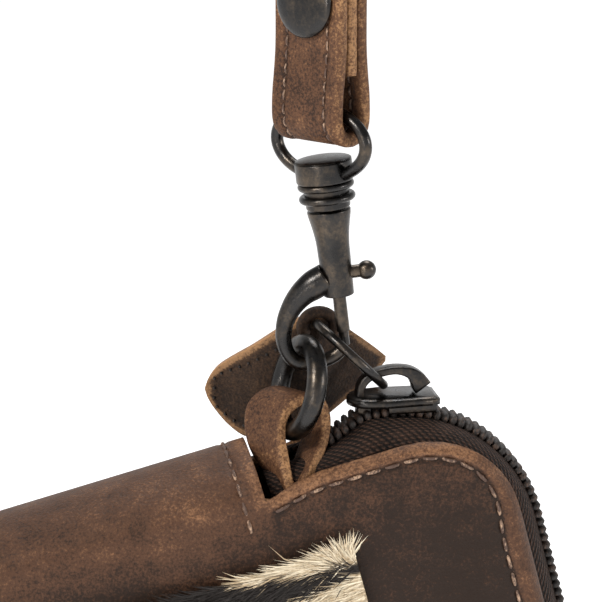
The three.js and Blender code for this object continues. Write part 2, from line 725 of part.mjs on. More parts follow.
// The slider's frame lies on the chain, part way round the corner
const chainMiddle = ZIP_CORNER - CHAIN_THICK / 2;
const sliderAt = new THREE.Vector3(
  INNER_X + chainMiddle * Math.sin(radians(SLIDER_ANGLE)),
  0,
  INNER_TOP + chainMiddle * Math.cos(radians(SLIDER_ANGLE)),
);
const slider = frame(bag, sliderAt, { lean: SLIDER_ANGLE });
const PLATE_BOTTOM = CHAIN_THICK / 2 + GAP;
const PLATE_TOP = PLATE_BOTTOM + SLIDER_PLATE;
const KEEL_TOP = -CHAIN_THICK / 2 - 3 * GAP;

function chainBody() {
  const [half, t] = [CHAIN_WIDTH / 2, CHAIN_THICK];
  const rows = [
    { y: -half, sink: 0.7 },
    { y: -half + 0.8, sink: 0 },
    { y: half - 0.8, sink: 0 },
    { y: half, sink: 0.7 },
    { y: half, sink: t - 0.7 },
    { y: half - 0.8, sink: t },
    { y: -half + 0.8, sink: t },
    { y: -half, sink: t - 0.7 },
  ];
  const rings = zipStations.map((s) => rows.map(({ y, sink }) => at(s, s.chain - sink, y)));
  const flat = counterClockwise(rows.map(({ y, sink }) => new THREE.Vector2(y, -sink)));
  const way = SLIDER_POST + 2 * GAP;
  const slot = new THREE.BoxGeometry(way, way, 8).translate(SLIDER_POST_X, 0, 0);
  slot.rotateY(radians(SLIDER_ANGLE)).translate(sliderAt.x, 0, sliderAt.z);
  return solid(swept(rings, flat)).subtract(solid(slot));
}
piece(bag, "zip_chain", "gunmetal", geometryOf(chainBody()));

// The slider: a top plate with side flanges, a keel inside the case, a post, and a bail open at one end
const BAIL = [
  { along: -0.48, rise: -0.15 },
  { along: -0.47, rise: 0.31 },
  { along: -0.36, rise: 0.67 },
  { along: -0.16, rise: 0.92 },
  { along: 0.06, rise: 1 },
  { along: 0.28, rise: 0.9 },
  { along: 0.41, rise: 0.62 },
  { along: 0.49, rise: 0.32 },
];

function sliderBody() {
  const [length, width] = [SLIDER_LENGTH, SLIDER_WIDTH];
  const outline = new THREE.Shape();
  outline.absellipse(-length / 2 + width * 0.35, 0, width * 0.35, width / 2, Math.PI / 2, (3 * Math.PI) / 2);
  outline.lineTo(length / 2 - 0.8, -width * 0.4);
  outline.lineTo(length / 2, -width * 0.3);
  outline.lineTo(length / 2, width * 0.3);
  outline.lineTo(length / 2 - 0.8, width * 0.4);
  const flat = { depth: SLIDER_PLATE, bevelEnabled: false, curveSegments: 10 };
  const plate = new THREE.ExtrudeGeometry(outline, flat).translate(0, 0, PLATE_BOTTOM);
  const flangeDrop = PLATE_BOTTOM - TAPE_THICK / 2 - GAP;
  const flanges = [-1, 1].map((side) => {
    const flange = new THREE.BoxGeometry(length * 0.5, 0.7, flangeDrop + 0.2);
    return flange.translate(length * 0.2, side * (width * 0.4 - 0.35), PLATE_BOTTOM - flangeDrop / 2 + 0.1);
  });
  const keel = new THREE.BoxGeometry(SLIDER_KEEL_LENGTH, SLIDER_KEEL_WIDTH, 0.9);
  keel.translate(0, 0, KEEL_TOP - 0.45);
  const post = new THREE.BoxGeometry(SLIDER_POST, SLIDER_POST, PLATE_TOP - KEEL_TOP);
  post.translate(SLIDER_POST_X, 0, (PLATE_BOTTOM + KEEL_TOP) / 2);
  const bailPath = BAIL.map((row) => {
    return new THREE.Vector2(BAIL_SPAN * row.along, PLATE_TOP + BAIL_RISE * row.rise);
  });
  const bailSection = (share) => {
    const thick = THREE.MathUtils.lerp(BAIL_THICK, BAIL_TIP_THICK, Math.max(0, 2.2 * share - 1.2));
    return strapSection(thick, BAIL_WIDTH, 0.25);
  };
  const bail = along(bailPath, bailSection);
  return [...flanges, keel, post, bail].reduce((sum, g) => sum.add(solid(g)), solid(plate));
}
piece(slider, "zip_slider", "gunmetal", geometryOf(sliderBody()));

// The puller's ring stands up from the bail, leans on the bag's ring inside the hook and carries the pull
const bailLift = PLATE_TOP + GAP + PULLER_WIRE_RADIUS + PULLER_LIFT;
const bailSeat = new THREE.Vector3(-0.15 * BAIL_SPAN, -PULLER_FORWARD, bailLift)
  .applyAxisAngle(AXIS_Y, radians(SLIDER_ANGLE))
  .add(sliderAt)
  .applyAxisAngle(AXIS_Y, radians(BAG_TILT))
  .add(bag.position);
const PULLER_RISE = new THREE.Vector3(-0.65, 0.49, 0.58).normalize();
const PULLER_FRONT = new THREE.Vector3(-0.31, -0.87, 0.385);
const pullerFront = PULLER_FRONT.clone()
  .addScaledVector(PULLER_RISE, -PULLER_FRONT.dot(PULLER_RISE))
  .normalize();
const pullerTurn = new THREE.Matrix4().makeBasis(
  PULLER_RISE,
  pullerFront,
  new THREE.Vector3().crossVectors(PULLER_RISE, pullerFront),
);
const pullerCentre = bailSeat.clone().addScaledVector(PULLER_RISE, PULLER_RING_RADIUS);
const pullerRing = new THREE.TorusGeometry(PULLER_RING_RADIUS, PULLER_WIRE_RADIUS, 8, 30);
const puller = piece(hang, "puller_ring", "gunmetal", welded(pullerRing));
puller.applyMatrix4(pullerTurn.setPosition(pullerCentre));
puller.updateMatrix();

// The pull: a leaf-shaped leather tab round a hole, as shares of its length
const PULL_OUTLINE = [
  { across: 0.0, drop: -0.115 },
  { across: -0.09, drop: -0.07 },
  { across: -0.36, drop: 0.08 },
  { across: -0.64, drop: 0.24 },
  { across: -0.78, drop: 0.36 },
  { across: -0.81, drop: 0.5 },
  { across: -0.75, drop: 0.66 },
  { across: -0.64, drop: 0.82 },
  { across: -0.51, drop: 0.9 },
  { across: -0.3, drop: 0.88 },
  { across: 0.02, drop: 0.74 },
  { across: 0.28, drop: 0.63 },
  { across: 0.48, drop: 0.5 },
  { across: 0.57, drop: 0.36 },
  { across: 0.34, drop: 0.16 },
  { across: 0.1, drop: -0.06 },
];
const pullHole = bailSeat.clone().addScaledVector(PULLER_RISE, 2 * PULLER_RING_RADIUS);
const leaf = new THREE.Shape(
  PULL_OUTLINE.map((row) => new THREE.Vector2(PULL_LENGTH * row.across, -PULL_LENGTH * row.drop)),
);
leaf.holes.push(new THREE.Path().absarc(0, 0, PULL_HOLE_RADIUS, 0, 2 * Math.PI));
const flatPull = new THREE.ExtrudeGeometry(leaf, { depth: PULL_THICK, bevelEnabled: false, curveSegments: 6 });
flatPull.translate(0, 0, -PULL_THICK / 2).rotateX(Math.PI / 2);

// Each wing of the pull falls back from the hole, as a strip folded over the ring does
function pullWing({ side, spread, stretch }) {
  const half = new THREE.BoxGeometry(PULL_LENGTH, 10, 3 * PULL_LENGTH);
  half.translate(side * (PULL_LENGTH / 2 - 0.01), 0, 0);
  const [back, droop] = [side * spread, PULL_DROOP * PULL_LEAN];
  const shear = new THREE.Matrix4().set(
    stretch, 0, 0, 0,
    back, 1, -PULL_LEAN, 0,
    -PULL_DROOP * back, 0, 1 + droop, 0,
    0, 0, 0, 1,
  );
  const wing = geometryOf(solid(flatPull).intersect(solid(half)));
  return solid(wing.applyMatrix4(shear));
}
const clearance = new THREE.TorusGeometry(PULLER_RING_RADIUS, PULLER_WIRE_RADIUS + GAP, 8, 30);
clearance.applyMatrix4(puller.matrix).translate(-pullHole.x, -pullHole.y, -pullHole.z);
const wings = pullWing(PULL_WINGS.left).add(pullWing(PULL_WINGS.right));
const pull = wings.subtract(solid(clearance));
piece(frame(hang, pullHole), "leather_pull", "darkLeather", geometryOf(pull));

// The hide panel lies on the front, with its margins equal at the top and the bottom
function patchGeometry() {
  const top = -PATCH_TOP_MARGIN;
  const bottom = LEATHER_RECT.bottom + LEATHER_RECT.top + PATCH_TOP_MARGIN;
  const [half, r] = [PATCH_WIDTH / 2, PATCH_CORNER];
  const shape = new THREE.Shape();
  shape.absarc(half - r, top - r, r, Math.PI / 2, 0, true);
  shape.absarc(half - r, bottom + r, r, 0, -Math.PI / 2, true);
  shape.absarc(-half + r, bottom + r, r, -Math.PI / 2, -Math.PI, true);
  shape.absarc(-half + r, top - r, r, Math.PI, Math.PI / 2, true);
  const plate = new THREE.ExtrudeGeometry(shape, { depth: PATCH_THICK, bevelEnabled: false, curveSegments: 3 });
  return welded(plate.rotateX(Math.PI / 2).translate(0, -HALF_DEPTH - GAP, 0));
}
piece(bag, "hide_patch", "hide", patchGeometry());

// The origin goes to the top of the loop, on the strap's inner face
const loopTop = new THREE.Vector3(0, -strap.centre.x, strap.centre.y + SHOULDER_RADIUS - STRAP_THICK / 2);
loopTop.applyAxisAngle(AXIS_Z, radians(STRAP_YAW)).add(eyeCentre);
hang.position.copy(loopTop).negate();

export default root;
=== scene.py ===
"""A crossbody phone bag, dressed: waxed leather, hair-on hide, woven zip tape, dark metal and thread.

Lengths in the size fields are millimetres in each piece's own frame. Meshes are made in metres in the
shared frame, where x runs to the right, y to the back and z up.
"""

import logging
import math
from dataclasses import dataclass, field
from enum import Enum

import bmesh
import bpy
import numpy as np
from mathutils import Matrix, Vector

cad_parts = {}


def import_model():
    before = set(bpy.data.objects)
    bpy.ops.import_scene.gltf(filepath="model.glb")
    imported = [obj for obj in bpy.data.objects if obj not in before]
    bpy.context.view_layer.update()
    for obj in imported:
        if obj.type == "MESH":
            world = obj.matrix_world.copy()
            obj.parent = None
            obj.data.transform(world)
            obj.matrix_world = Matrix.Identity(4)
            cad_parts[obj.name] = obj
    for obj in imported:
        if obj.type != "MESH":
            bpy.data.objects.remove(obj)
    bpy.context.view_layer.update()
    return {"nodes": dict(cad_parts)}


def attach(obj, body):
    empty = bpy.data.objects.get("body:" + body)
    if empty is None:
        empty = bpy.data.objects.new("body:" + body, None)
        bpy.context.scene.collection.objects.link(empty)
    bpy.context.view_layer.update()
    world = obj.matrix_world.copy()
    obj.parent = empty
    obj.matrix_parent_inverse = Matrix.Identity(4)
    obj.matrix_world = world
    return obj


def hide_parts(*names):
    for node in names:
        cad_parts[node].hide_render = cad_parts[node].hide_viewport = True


LOG = logging.getLogger("phone_bag")
MM = 0.001
TAU = 2 * math.pi


class Body(Enum):
    """The rigid bodies that pieces ride on."""

    STRAP = "strap"
    BAG = "bag"
    GATE = "gate"


class Slot(Enum):
    """The material slots."""

    BROWN_LEATHER = "brown_leather"
    DARK_LEATHER = "dark_leather"
    GUNMETAL = "gunmetal"
    ZIP_TEETH = "zip_teeth"
    ZIP_TAPE = "zip_tape"
    HIDE = "hide"


# ---- shader graph


class Value:
    """A shader output that takes part in sums."""

    def __init__(self, graph: "Graph", socket: bpy.types.NodeSocket | None) -> None:
        """Wraps a socket of a graph."""
        self.graph = graph
        self.socket = socket

    def _sum(self, operation: str, first: object, second: object) -> "Value":
        """One Math node on two values."""
        return self.graph.node("ShaderNodeMath", {"operation": operation}, {0: first, 1: second})

    def __add__(self, other: object) -> "Value":
        """This value plus another."""
        return self._sum("ADD", self, other)

    def __radd__(self, other: object) -> "Value":
        """A number plus this value."""
        return self._sum("ADD", other, self)

    def __sub__(self, other: object) -> "Value":
        """This value less another."""
        return self._sum("SUBTRACT", self, other)

    def __rsub__(self, other: object) -> "Value":
        """A number less this value."""
        return self._sum("SUBTRACT", other, self)

    def __mul__(self, other: object) -> "Value":
        """This value times another."""
        return self._sum("MULTIPLY", self, other)

    def __rmul__(self, other: object) -> "Value":
        """A number times this value."""
        return self._sum("MULTIPLY", other, self)

    def __truediv__(self, other: object) -> "Value":
        """This value over another."""
        return self._sum("DIVIDE", self, other)

    def __rtruediv__(self, other: object) -> "Value":
        """A number over this value."""
        return self._sum("DIVIDE", other, self)

    def wave(self) -> "Value":
        """The sine of the value."""
        return self.graph.node("ShaderNodeMath", {"operation": "SINE"}, {0: self})

    def clamped(self) -> "Value":
        """The value held between 0 and 1."""
        return self.graph.node("ShaderNodeClamp", {}, {"Value": self})

    def ramp(self, low: float, high: float) -> "Value":
        """A smooth step.

        Args:
            low: Where it leaves 0.
            high: Where it reaches 1.

        Returns:
            The step.
        """
        settings = {"interpolation_type": "SMOOTHSTEP"}
        inputs = {"Value": self, "From Min": low, "From Max": high}
        return self.graph.node("ShaderNodeMapRange", settings, inputs)


class Graph:
    """The nodes of a material or a world, added one by one."""

    def __init__(self, owner: bpy.types.Material | bpy.types.World) -> None:
        """Starts with no nodes.

        Args:
            owner: The material or world.
        """
        owner.use_nodes = True
        self.owner = owner
        self.tree = owner.node_tree
        self.tree.nodes.clear()

    def node(
        self, kind: str, settings: dict | None = None, inputs: dict | None = None, out: int | str = 0
    ) -> Value:
        """Adds a node.

        Args:
            kind: The node's type.
            settings: Its properties, with a ramp's stops as pairs of place and brightness.
            inputs: Values or links for its sockets, by name or index.
            out: Which of its outputs is returned.

        Returns:
            The chosen output.
        """
        made = self.tree.nodes.new(kind)
        for name, value in (settings or {}).items():
            if name == "stops":
                self._set_stops(made.color_ramp.elements, value)
            else:
                setattr(made, name, value)
        for name, value in (inputs or {}).items():
            if isinstance(value, Value):
                self.tree.links.new(value.socket, made.inputs[name])
            else:
                made.inputs[name].default_value = value
        return Value(self, made.outputs[out] if made.outputs else None)

    @staticmethod
    def _set_stops(elements: bpy.types.ColorRampElements, stops: tuple) -> None:
        """Sets a ramp's stops.

        Args:
            elements: The ramp's own stops, two at first.
            stops: Pairs of place and brightness.
        """
        for k, (where, bright) in enumerate(stops):
            stop = elements[k] if k < 2 else elements.new(where)
            stop.position, stop.color = where, (bright, bright, bright, 1)

    def place(self) -> Value:
        """The point's place in its object, in metres."""
        return self.node("ShaderNodeTexCoord", {}, {}, "Object")

    def attribute(self, name: str) -> Value:
        """A number that the mesh carries at each vertex."""
        return self.node("ShaderNodeAttribute", {"attribute_name": name}, {}, "Fac")

    def stretched(self, stretch: tuple) -> Value:
        """The point's place, multiplied along each axis."""
        return self.node("ShaderNodeVectorMath", {"operation": "MULTIPLY"}, {0: self.place(), 1: stretch})

    def noise(
        self, scale: float, detail: float = 4, stretch: tuple = (1, 1, 1), rough: float = 0.55
    ) -> Value:
        """Cloudy noise.

        Args:
            scale: How many cells a metre holds.
            detail: How many finer layers it has.
            stretch: How much closer the cells are along each axis.
            rough: How strong the finer layers are.

        Returns:
            The noise, around 0.5.
        """
        inputs = {"Vector": self.stretched(stretch), "Scale": scale, "Detail": detail, "Roughness": rough}
        return self.node("ShaderNodeTexNoise", {}, inputs)

    def cells(self, scale: float) -> Value:
        """The distance to the nearest of many scattered points."""
        inputs = {"Vector": self.stretched((1, 1, 1)), "Scale": scale}
        return self.node("ShaderNodeTexVoronoi", {}, inputs)

    def mix(self, amount: object, first: object, second: object) -> Value:
        """A colour between two."""
        return self.node("ShaderNodeMix", {"data_type": "RGBA"}, {0: amount, 6: first, 7: second}, 2)

    def bump(self, height: Value, distance: float, strength: float, under: Value | None = None) -> Value:
        """A normal bent by a height.

        Args:
            height: The height, as a share.
            distance: How high 1 is, in metres.
            strength: How much of the bend shows.
            under: A normal that is bent already.

        Returns:
            The normal.
        """
        inputs = {"Height": height, "Distance": distance, "Strength": strength}
        if under is not None:
            inputs["Normal"] = under
        return self.node("ShaderNodeBump", {}, inputs, "Normal")

    def surface(self, inputs: dict) -> bpy.types.Material:
        """Ends the graph with a Principled surface.

        Args:
            inputs: Values or links for its sockets.

        Returns:
            The material.
        """
        shader = self.node("ShaderNodeBsdfPrincipled", {}, inputs)
        self.node("ShaderNodeOutputMaterial", {}, {"Surface": shader})
        return self.owner


# ---- finishes


def rgb(red: float, green: float, blue: float) -> tuple:
    """A linear colour from an sRGB one.

    Args:
        red: Red, in 0 to 255.
        green: Green, in 0 to 255.
        blue: Blue, in 0 to 255.

    Returns:
        The colour, with an alpha of 1.
    """
    shares = (level / 255 for level in (red, green, blue))
    linear = (share / 12.92 if share < 0.0405 else ((share + 0.055) / 1.055) ** 2.4 for share in shares)
    return (*linear, 1.0)


@dataclass(frozen=True)
class Leather:
    """Waxed leather, darker in the body and paler where it is rubbed or cut."""

    name: str
    dark: tuple
    mid: tuple
    pale: tuple
    roughness: float = 0.62
    speckle: float = 1.1
    cloud_scale: float = 70
    blotch_scale: float = 330
    speck_scale: float = 2300
    rub_scale: float = 150
    pore_scale: float = 2400
    grain_height: float = 0.00011
    crease_height: float = 0.0003

    def material(self) -> bpy.types.Material:
        """Builds the material. The mesh's "tone" runs from 0, dark, to 1, pale.

        Returns:
            The material.
        """
        g = Graph(bpy.data.materials.new(self.name))
        cloud = g.noise(self.cloud_scale, 4)
        blotch = g.noise(self.blotch_scale, 5, rough=0.65)
        speck = g.noise(self.speck_scale, 3, rough=0.75)
        rub = g.noise(self.rub_scale, 5, (0.7, 1, 2.4), 0.7)
        tone = g.attribute("tone") + (cloud - 0.5) * 0.5 + (blotch - 0.5) * 0.75 + (rub - 0.5) * 0.45
        tone = tone + (speck - 0.5) * self.speckle
        low = g.mix(tone.ramp(-0.1, 0.5), self.dark, self.mid)
        colour = g.mix(tone.ramp(0.45, 1.05), low, self.pale)
        fine = g.bump(g.cells(self.pore_scale) * 0.5 + speck, self.grain_height, 0.8)
        normal = g.bump(blotch + rub * 0.6, self.crease_height, 0.55, fine)
        rough = (self.roughness + (speck - 0.5) * 0.3 - (cloud - 0.5) * 0.3).clamped()
        inputs = {"Base Color": colour, "Roughness": rough, "Normal": normal}
        return g.surface({**inputs, "Specular IOR Level": 0.2})


@dataclass(frozen=True)
class Metal:
    """Dark plating, rubbed warm and bright in places."""

    name: str
    dark: tuple
    worn: tuple
    roughness: float = 0.3
    patch_scale: float = 240
    speck_scale: float = 2200
    pit_height: float = 0.00004

    def material(self) -> bpy.types.Material:
        """Builds the material.

        Returns:
            The material.
        """
        g = Graph(bpy.data.materials.new(self.name))
        patch = g.noise(self.patch_scale, 6, rough=0.7)
        speck = g.noise(self.speck_scale, 2)
        worn = (patch + (speck - 0.5) * 0.2).ramp(0.42, 0.95) * 0.6
        colour = g.mix(worn, self.dark, self.worn)
        rough = (self.roughness + (patch - 0.5) * 0.4 + (speck - 0.5) * 0.15).clamped()
        normal = g.bump(speck + patch * 2, self.pit_height, 0.6)
        return g.surface({"Base Color": colour, "Metallic": 1.0, "Roughness": rough, "Normal": normal})


@dataclass(frozen=True)
class Weave:
    """Coarse twill, painted paler on its raised knots and darker between them: painted highlight and painted
    shade.

    The mesh carries how far along and across the cloth each point lies, in millimetres.
    """

    name: str
    # deep is painted shade in the weave's valleys, high is painted highlight on its knots
    deep: tuple
    high: tuple
    knot: float = 1.15
    row: float = 0.9
    fibre_scale: float = 3500
    patch_scale: float = 300
    knot_height: float = 0.0006

    def material(self) -> bpy.types.Material:
        """Builds the material.

        Returns:
            The material.
        """
        g = Graph(bpy.data.materials.new(self.name))
        along, across = g.attribute("along") / self.knot, g.attribute("across") / self.row
        twill = ((along + across * 0.5) * TAU).wave() * 0.5 + 0.5
        rows = (across * TAU).wave() * 0.4 + 0.6
        fibre = g.noise(self.fibre_scale, 3, rough=0.7)
        patch = g.noise(self.patch_scale, 3)
        height = twill * rows + (fibre - 0.5) * 0.9
        # Painted highlight and shade: the colour follows the weave's height, paler on the knots and darker in
        # the valleys, with patches of real tone over it
        colour = g.mix((height * 0.8 + (patch - 0.5) * 0.5).clamped(), self.deep, self.high)
        normal = g.bump(height, self.knot_height, 1.0)
        inputs = {"Base Color": colour, "Roughness": 0.8, "Normal": normal}
        return g.surface({**inputs, "Specular IOR Level": 0.25})


@dataclass(frozen=True)
class Thread:
    """Twisted waxed thread."""

    name: str
    dark: tuple
    pale: tuple
    patch_scale: float = 500
    twist_scale: float = 3800
    twist_height: float = 0.0001

    def material(self) -> bpy.types.Material:
        """Builds the material.

        Returns:
            The material.
        """
        g = Graph(bpy.data.materials.new(self.name))
        patch = g.noise(self.patch_scale, 3)
        twist = g.noise(self.twist_scale, 2, (1, 1, 0.4))
        colour = g.mix((patch + (twist - 0.5)).ramp(0.45, 0.75), self.dark, self.pale)
        normal = g.bump(twist, self.twist_height, 0.8)
        return g.surface({"Base Color": colour, "Roughness": 0.6, "Normal": normal})


@dataclass(frozen=True)
class Hair:
    """Short hair, coloured by the mesh's own "shade" from black to cream."""

    name: str
    black: tuple
    cream: tuple
    pale: tuple
    strand_scale: float = 2500
    strand_height: float = 0.00012

    def material(self) -> bpy.types.Material:
        """Builds the material.

        Returns:
            The material.
        """
        g = Graph(bpy.data.materials.new(self.name))
        shade = g.attribute("shade")
        strand = g.noise(self.strand_scale, 3, (1, 1, 0.25))
        colour = g.mix(shade.ramp(0.1, 0.6), self.black, self.cream)
        colour = g.mix((shade + (strand - 0.5) * 0.8).ramp(0.7, 1.2), colour, self.pale)
        normal = g.bump(strand, self.strand_height, 0.6)
        inputs = {"Base Color": colour, "Roughness": 0.55, "Normal": normal}
        return g.surface({**inputs, "Specular IOR Level": 0.3})


@dataclass(frozen=True)
class Plain:
    """A pale matt ground that shines a little by itself."""

    name: str
    colour: tuple
    glow: float

    def material(self) -> bpy.types.Material:
        """Builds the material.

        Returns:
            The material.
        """
        g = Graph(bpy.data.materials.new(self.name))
        inputs = {"Base Color": self.colour, "Roughness": 0.9, "Emission Color": self.colour}
        return g.surface({**inputs, "Emission Strength": self.glow})


@dataclass(frozen=True)
class Finishes:
    """Every finish of the bag."""

    strap: Leather = Leather("strap leather", rgb(40, 26, 19), rgb(88, 60, 42), rgb(156, 118, 82), 0.66, 1.9)
    case: Leather = Leather("case leather", rgb(35, 23, 16), rgb(77, 52, 37), rgb(138, 100, 71), 0.55, 1.5)
    pull: Leather = Leather("pull leather", rgb(35, 26, 21), rgb(70, 52, 39), rgb(146, 112, 80), 0.66, 1.4)
    metal: Metal = Metal("gunmetal", (0.036, 0.035, 0.035, 1), (0.26, 0.19, 0.125, 1), 0.31)
    teeth: Thread = Thread("zip teeth finish", rgb(24, 17, 14), rgb(76, 57, 46))
    # The tape's two colours are painted shade in the weave's valleys and painted highlight on its knots
    tape: Weave = Weave("zip tape", rgb(15, 10, 8), rgb(104, 76, 62))
    thread: Thread = Thread("thread", rgb(74, 53, 42), rgb(168, 138, 114))
    # The needle holes are dark marks laid on the leather: painted shade for the holes' insides
    hole: Thread = Thread("needle hole", rgb(16, 12, 10), rgb(34, 24, 18))
    hide: Hair = Hair("hide_hair", rgb(32, 27, 25), rgb(186, 166, 136), rgb(226, 214, 190))
    ground: Plain = Plain("ground", (0.93, 0.93, 0.93, 1), 0.72)


# ---- mesh helpers


@dataclass
class Surface:
    """Vertices in millimetres and faces, with numbers carried at the vertices."""

    points: np.ndarray
    faces: list
    numbers: dict = field(default_factory=dict)

    def joined(self, *others: "Surface") -> "Surface":
        """This surface and others as one.

        Args:
            others: The others.

        Returns:
            One surface, whose numbers are 0 where a part has none.
        """
        parts = [self, *others]
        faces, start = [], 0
        for part in parts:
            faces += [tuple(i + start for i in face) for face in part.faces]
            start += len(part.points)
        names = {name for part in parts for name in part.numbers}
        numbers = {
            name: np.concatenate([part.numbers.get(name, np.zeros(len(part.points))) for part in parts])
            for name in names
        }
        return Surface(np.concatenate([part.points for part in parts]), faces, numbers)


def grid(points: np.ndarray, around: bool = False, along: bool = False, caps: bool = False) -> Surface:
    """A surface through rings of points.

    Args:
        points: An array of rings by ring points by 3.
        around: Whether each ring closes.
        along: Whether the last ring joins the first.
        caps: Whether fans close both ends.

    Returns:
        The surface.
    """
    n, m = points.shape[:2]
    faces = []
    for i in range(n if along else n - 1):
        a, b = i * m, ((i + 1) % n) * m
        for j in range(m if around else m - 1):
            k = (j + 1) % m
            faces.append((a + j, a + k, b + k, b + j))
    flat = points.reshape(-1, 3)
    if caps:
        ends = np.array([points[0].mean(0), points[-1].mean(0)])
        flat = np.concatenate([flat, ends])
        c0, c1, last = n * m, n * m + 1, (n - 1) * m
        for j in range(m):
            k = (j + 1) % m
            faces += [(c0, k, j), (c1, last + j, last + k)]
    return Surface(flat, faces)


def turns(count: int) -> np.ndarray:
    """Even angles round a circle."""
    return np.arange(count) / count * TAU


def turned(profile: list, sides: int = 56) -> Surface:
    """A body of revolution about Z.

    Args:
        profile: Pairs of radius and height.
        sides: How many sides it has.

    Returns:
        The surface.
    """
    x, y = np.cos(turns(sides)), np.sin(turns(sides))
    rings = [np.stack([radius * x, radius * y, np.full(sides, height)], 1) for radius, height in profile]
    return grid(np.array(rings), around=True)


def softened(profile: list, radius: float = 0.12, steps: int = 3) -> list:
    """The profile with its corners rounded a little.

    Args:
        profile: Pairs of radius and height.
        radius: How far back from a corner its round begins.
        steps: How many parts each round has.

    Returns:
        The rounded profile.
    """
    points = [np.array(p, float) for p in profile]
    out = [tuple(points[0])]
    for before, here, after in zip(points, points[1:], points[2:]):
        a, b = before - here, after - here
        la, lb = np.linalg.norm(a), np.linalg.norm(b)
        r = min(radius, la * 0.4, lb * 0.4)
        p, q = here + a / la * r, here + b / lb * r
        for k in range(steps + 1):
            t = k / steps
            out.append(tuple((1 - t) ** 2 * p + 2 * t * (1 - t) * here + t * t * q))
    out.append(tuple(points[-1]))
    return out


def smooth_path(points: list, count: int) -> np.ndarray:
    """A Catmull-Rom curve.

    Args:
        points: The points that it runs through, of any width.
        count: How many points it is given.

    Returns:
        The curve's points.
    """
    p = np.array(points, float)
    p = np.concatenate([[2 * p[0] - p[1]], p, [2 * p[-1] - p[-2]]])
    spans = len(p) - 3
    out = []
    for s in np.linspace(0, spans, count):
        i = min(int(s), spans - 1)
        t = s - i
        a, b, c, d = p[i : i + 4]
        bend = (2 * a - 5 * b + 4 * c - d) * t**2 + (3 * b - a - 3 * c + d) * t**3
        out.append(0.5 * (2 * b + (c - a) * t + bend))
    return np.array(out)


def distances(path: np.ndarray) -> np.ndarray:
    """How far along a path each of its points lies."""
    return np.concatenate([[0], np.cumsum(np.linalg.norm(np.diff(path, axis=0), axis=1))])


def sampled(values: np.ndarray, run: np.ndarray, where: np.ndarray) -> np.ndarray:
    """Rows of values, known at distances along a run, at other distances."""
    return np.stack([np.interp(where, run, column) for column in values.T], 1)


def left_of(path: np.ndarray) -> np.ndarray:
    """The way to the left of a flat path.

    Args:
        path: The path's points.

    Returns:
        A unit vector at each point.
    """
    run = np.gradient(path, axis=0)
    run /= np.linalg.norm(run, axis=1, keepdims=True)
    return np.stack([-run[:, 1], run[:, 0]], 1)


def tube(path: np.ndarray, radii: object, sides: int = 20, closed: bool = False) -> Surface:
    """A round tube along a path.

    Args:
        path: The path's points.
        radii: One radius, or one for each point.
        sides: How many sides it has.
        closed: Whether its end joins its start.

    Returns:
        The surface.
    """
    path = np.asarray(path, float)
    radii = np.broadcast_to(np.asarray(radii, float), (len(path),))
    if closed:
        run = np.roll(path, -1, 0) - np.roll(path, 1, 0)
    else:
        run = np.gradient(path, axis=0)
    run /= np.linalg.norm(run, axis=1, keepdims=True)
    side = np.cross(run[0], [0.31, 0.83, 0.46])
    side /= np.linalg.norm(side)
    rings = []
    angles = turns(sides)
    for p, d, r in zip(path, run, radii):
        side = side - d * side.dot(d)
        side /= np.linalg.norm(side)
        up = np.cross(d, side)
        rings.append(p + r * (np.cos(angles)[:, None] * side + np.sin(angles)[:, None] * up))
    return grid(np.array(rings), around=True, along=closed, caps=not closed)


def round_section(thick: float, width: float, radius: float, steps: int = 4) -> np.ndarray:
    """A rounded rectangle's outline, counter-clockwise.

    Args:
        thick: How deep it is, outwards.
        width: How wide it is, across.
        radius: Its corners' radius.
        steps: How many parts each corner has.

    Returns:
        Points (out, across).
    """
    out = []
    for cx, cy, start in ((1, -1, -90), (1, 1, 0), (-1, 1, 90), (-1, -1, 180)):
        for k in range(steps + 1):
            a = math.radians(start + 90 * k / steps)
            x = cx * (thick / 2 - radius) + radius * math.cos(a)
            y = cy * (width / 2 - radius) + radius * math.sin(a)
            out.append((x, y))
    return np.array(out)


def stitches(
    starts: np.ndarray, ends: np.ndarray, normals: np.ndarray, radius: float, sides: int = 6
) -> Surface:
    """Short bowed threads between pairs of holes.

    Args:
        starts: Where each begins.
        ends: Where each ends.
        normals: The way out of the leather at each.
        radius: The thread's radius.
        sides: How many sides the thread has.

    Returns:
        All the stitches as one surface.
    """
    shares = np.array([0.0, 0.15, 0.4, 0.6, 0.85, 1.0])
    rise = np.array([-0.9, 0.35, 0.75, 0.75, 0.35, -0.9]) * radius
    thick = np.array([0.45, 0.85, 1.0, 1.0, 0.85, 0.45]) * radius
    angles = turns(sides)
    run = ends - starts
    side = np.cross(run, normals)
    side /= np.linalg.norm(side, axis=1, keepdims=True)
    centre = starts[:, None] + run[:, None] * shares[:, None] + normals[:, None] * rise[:, None]
    ring = side[:, None, :] * np.cos(angles)[:, None] + normals[:, None, :] * np.sin(angles)[:, None]
    points = centre[:, :, None, :] + ring[:, None, :, :] * thick[:, None, None]
    n, m = len(starts), len(shares) * sides
    faces = []
    for s in range(n):
        for i in range(len(shares) - 1):
            a, b = s * m + i * sides, s * m + (i + 1) * sides
            for j in range(sides):
                k = (j + 1) % sides
                faces.append((a + j, a + k, b + k, b + j))
    return Surface(points.reshape(-1, 3), faces)


def seam(path: np.ndarray, normals: np.ndarray, pitch: float, length: float, radius: float) -> Surface:
    """A row of stitches along a path.

    Args:
        path: The path's points.
        normals: The way out of the leather at each.
        pitch: How far apart the stitches begin.
        length: How long each is.
        radius: The thread's radius.

    Returns:
        All the stitches as one surface.
    """
    run = distances(path)
    begin = (np.arange(max(int(run[-1] / pitch), 1)) + 0.1) * pitch
    out = sampled(normals, run, begin + length / 2)
    out /= np.linalg.norm(out, axis=1, keepdims=True)
    starts = sampled(path, run, begin)
    ends = sampled(path, run, np.minimum(begin + length, run[-1]))
    return stitches(starts, ends, out, radius)


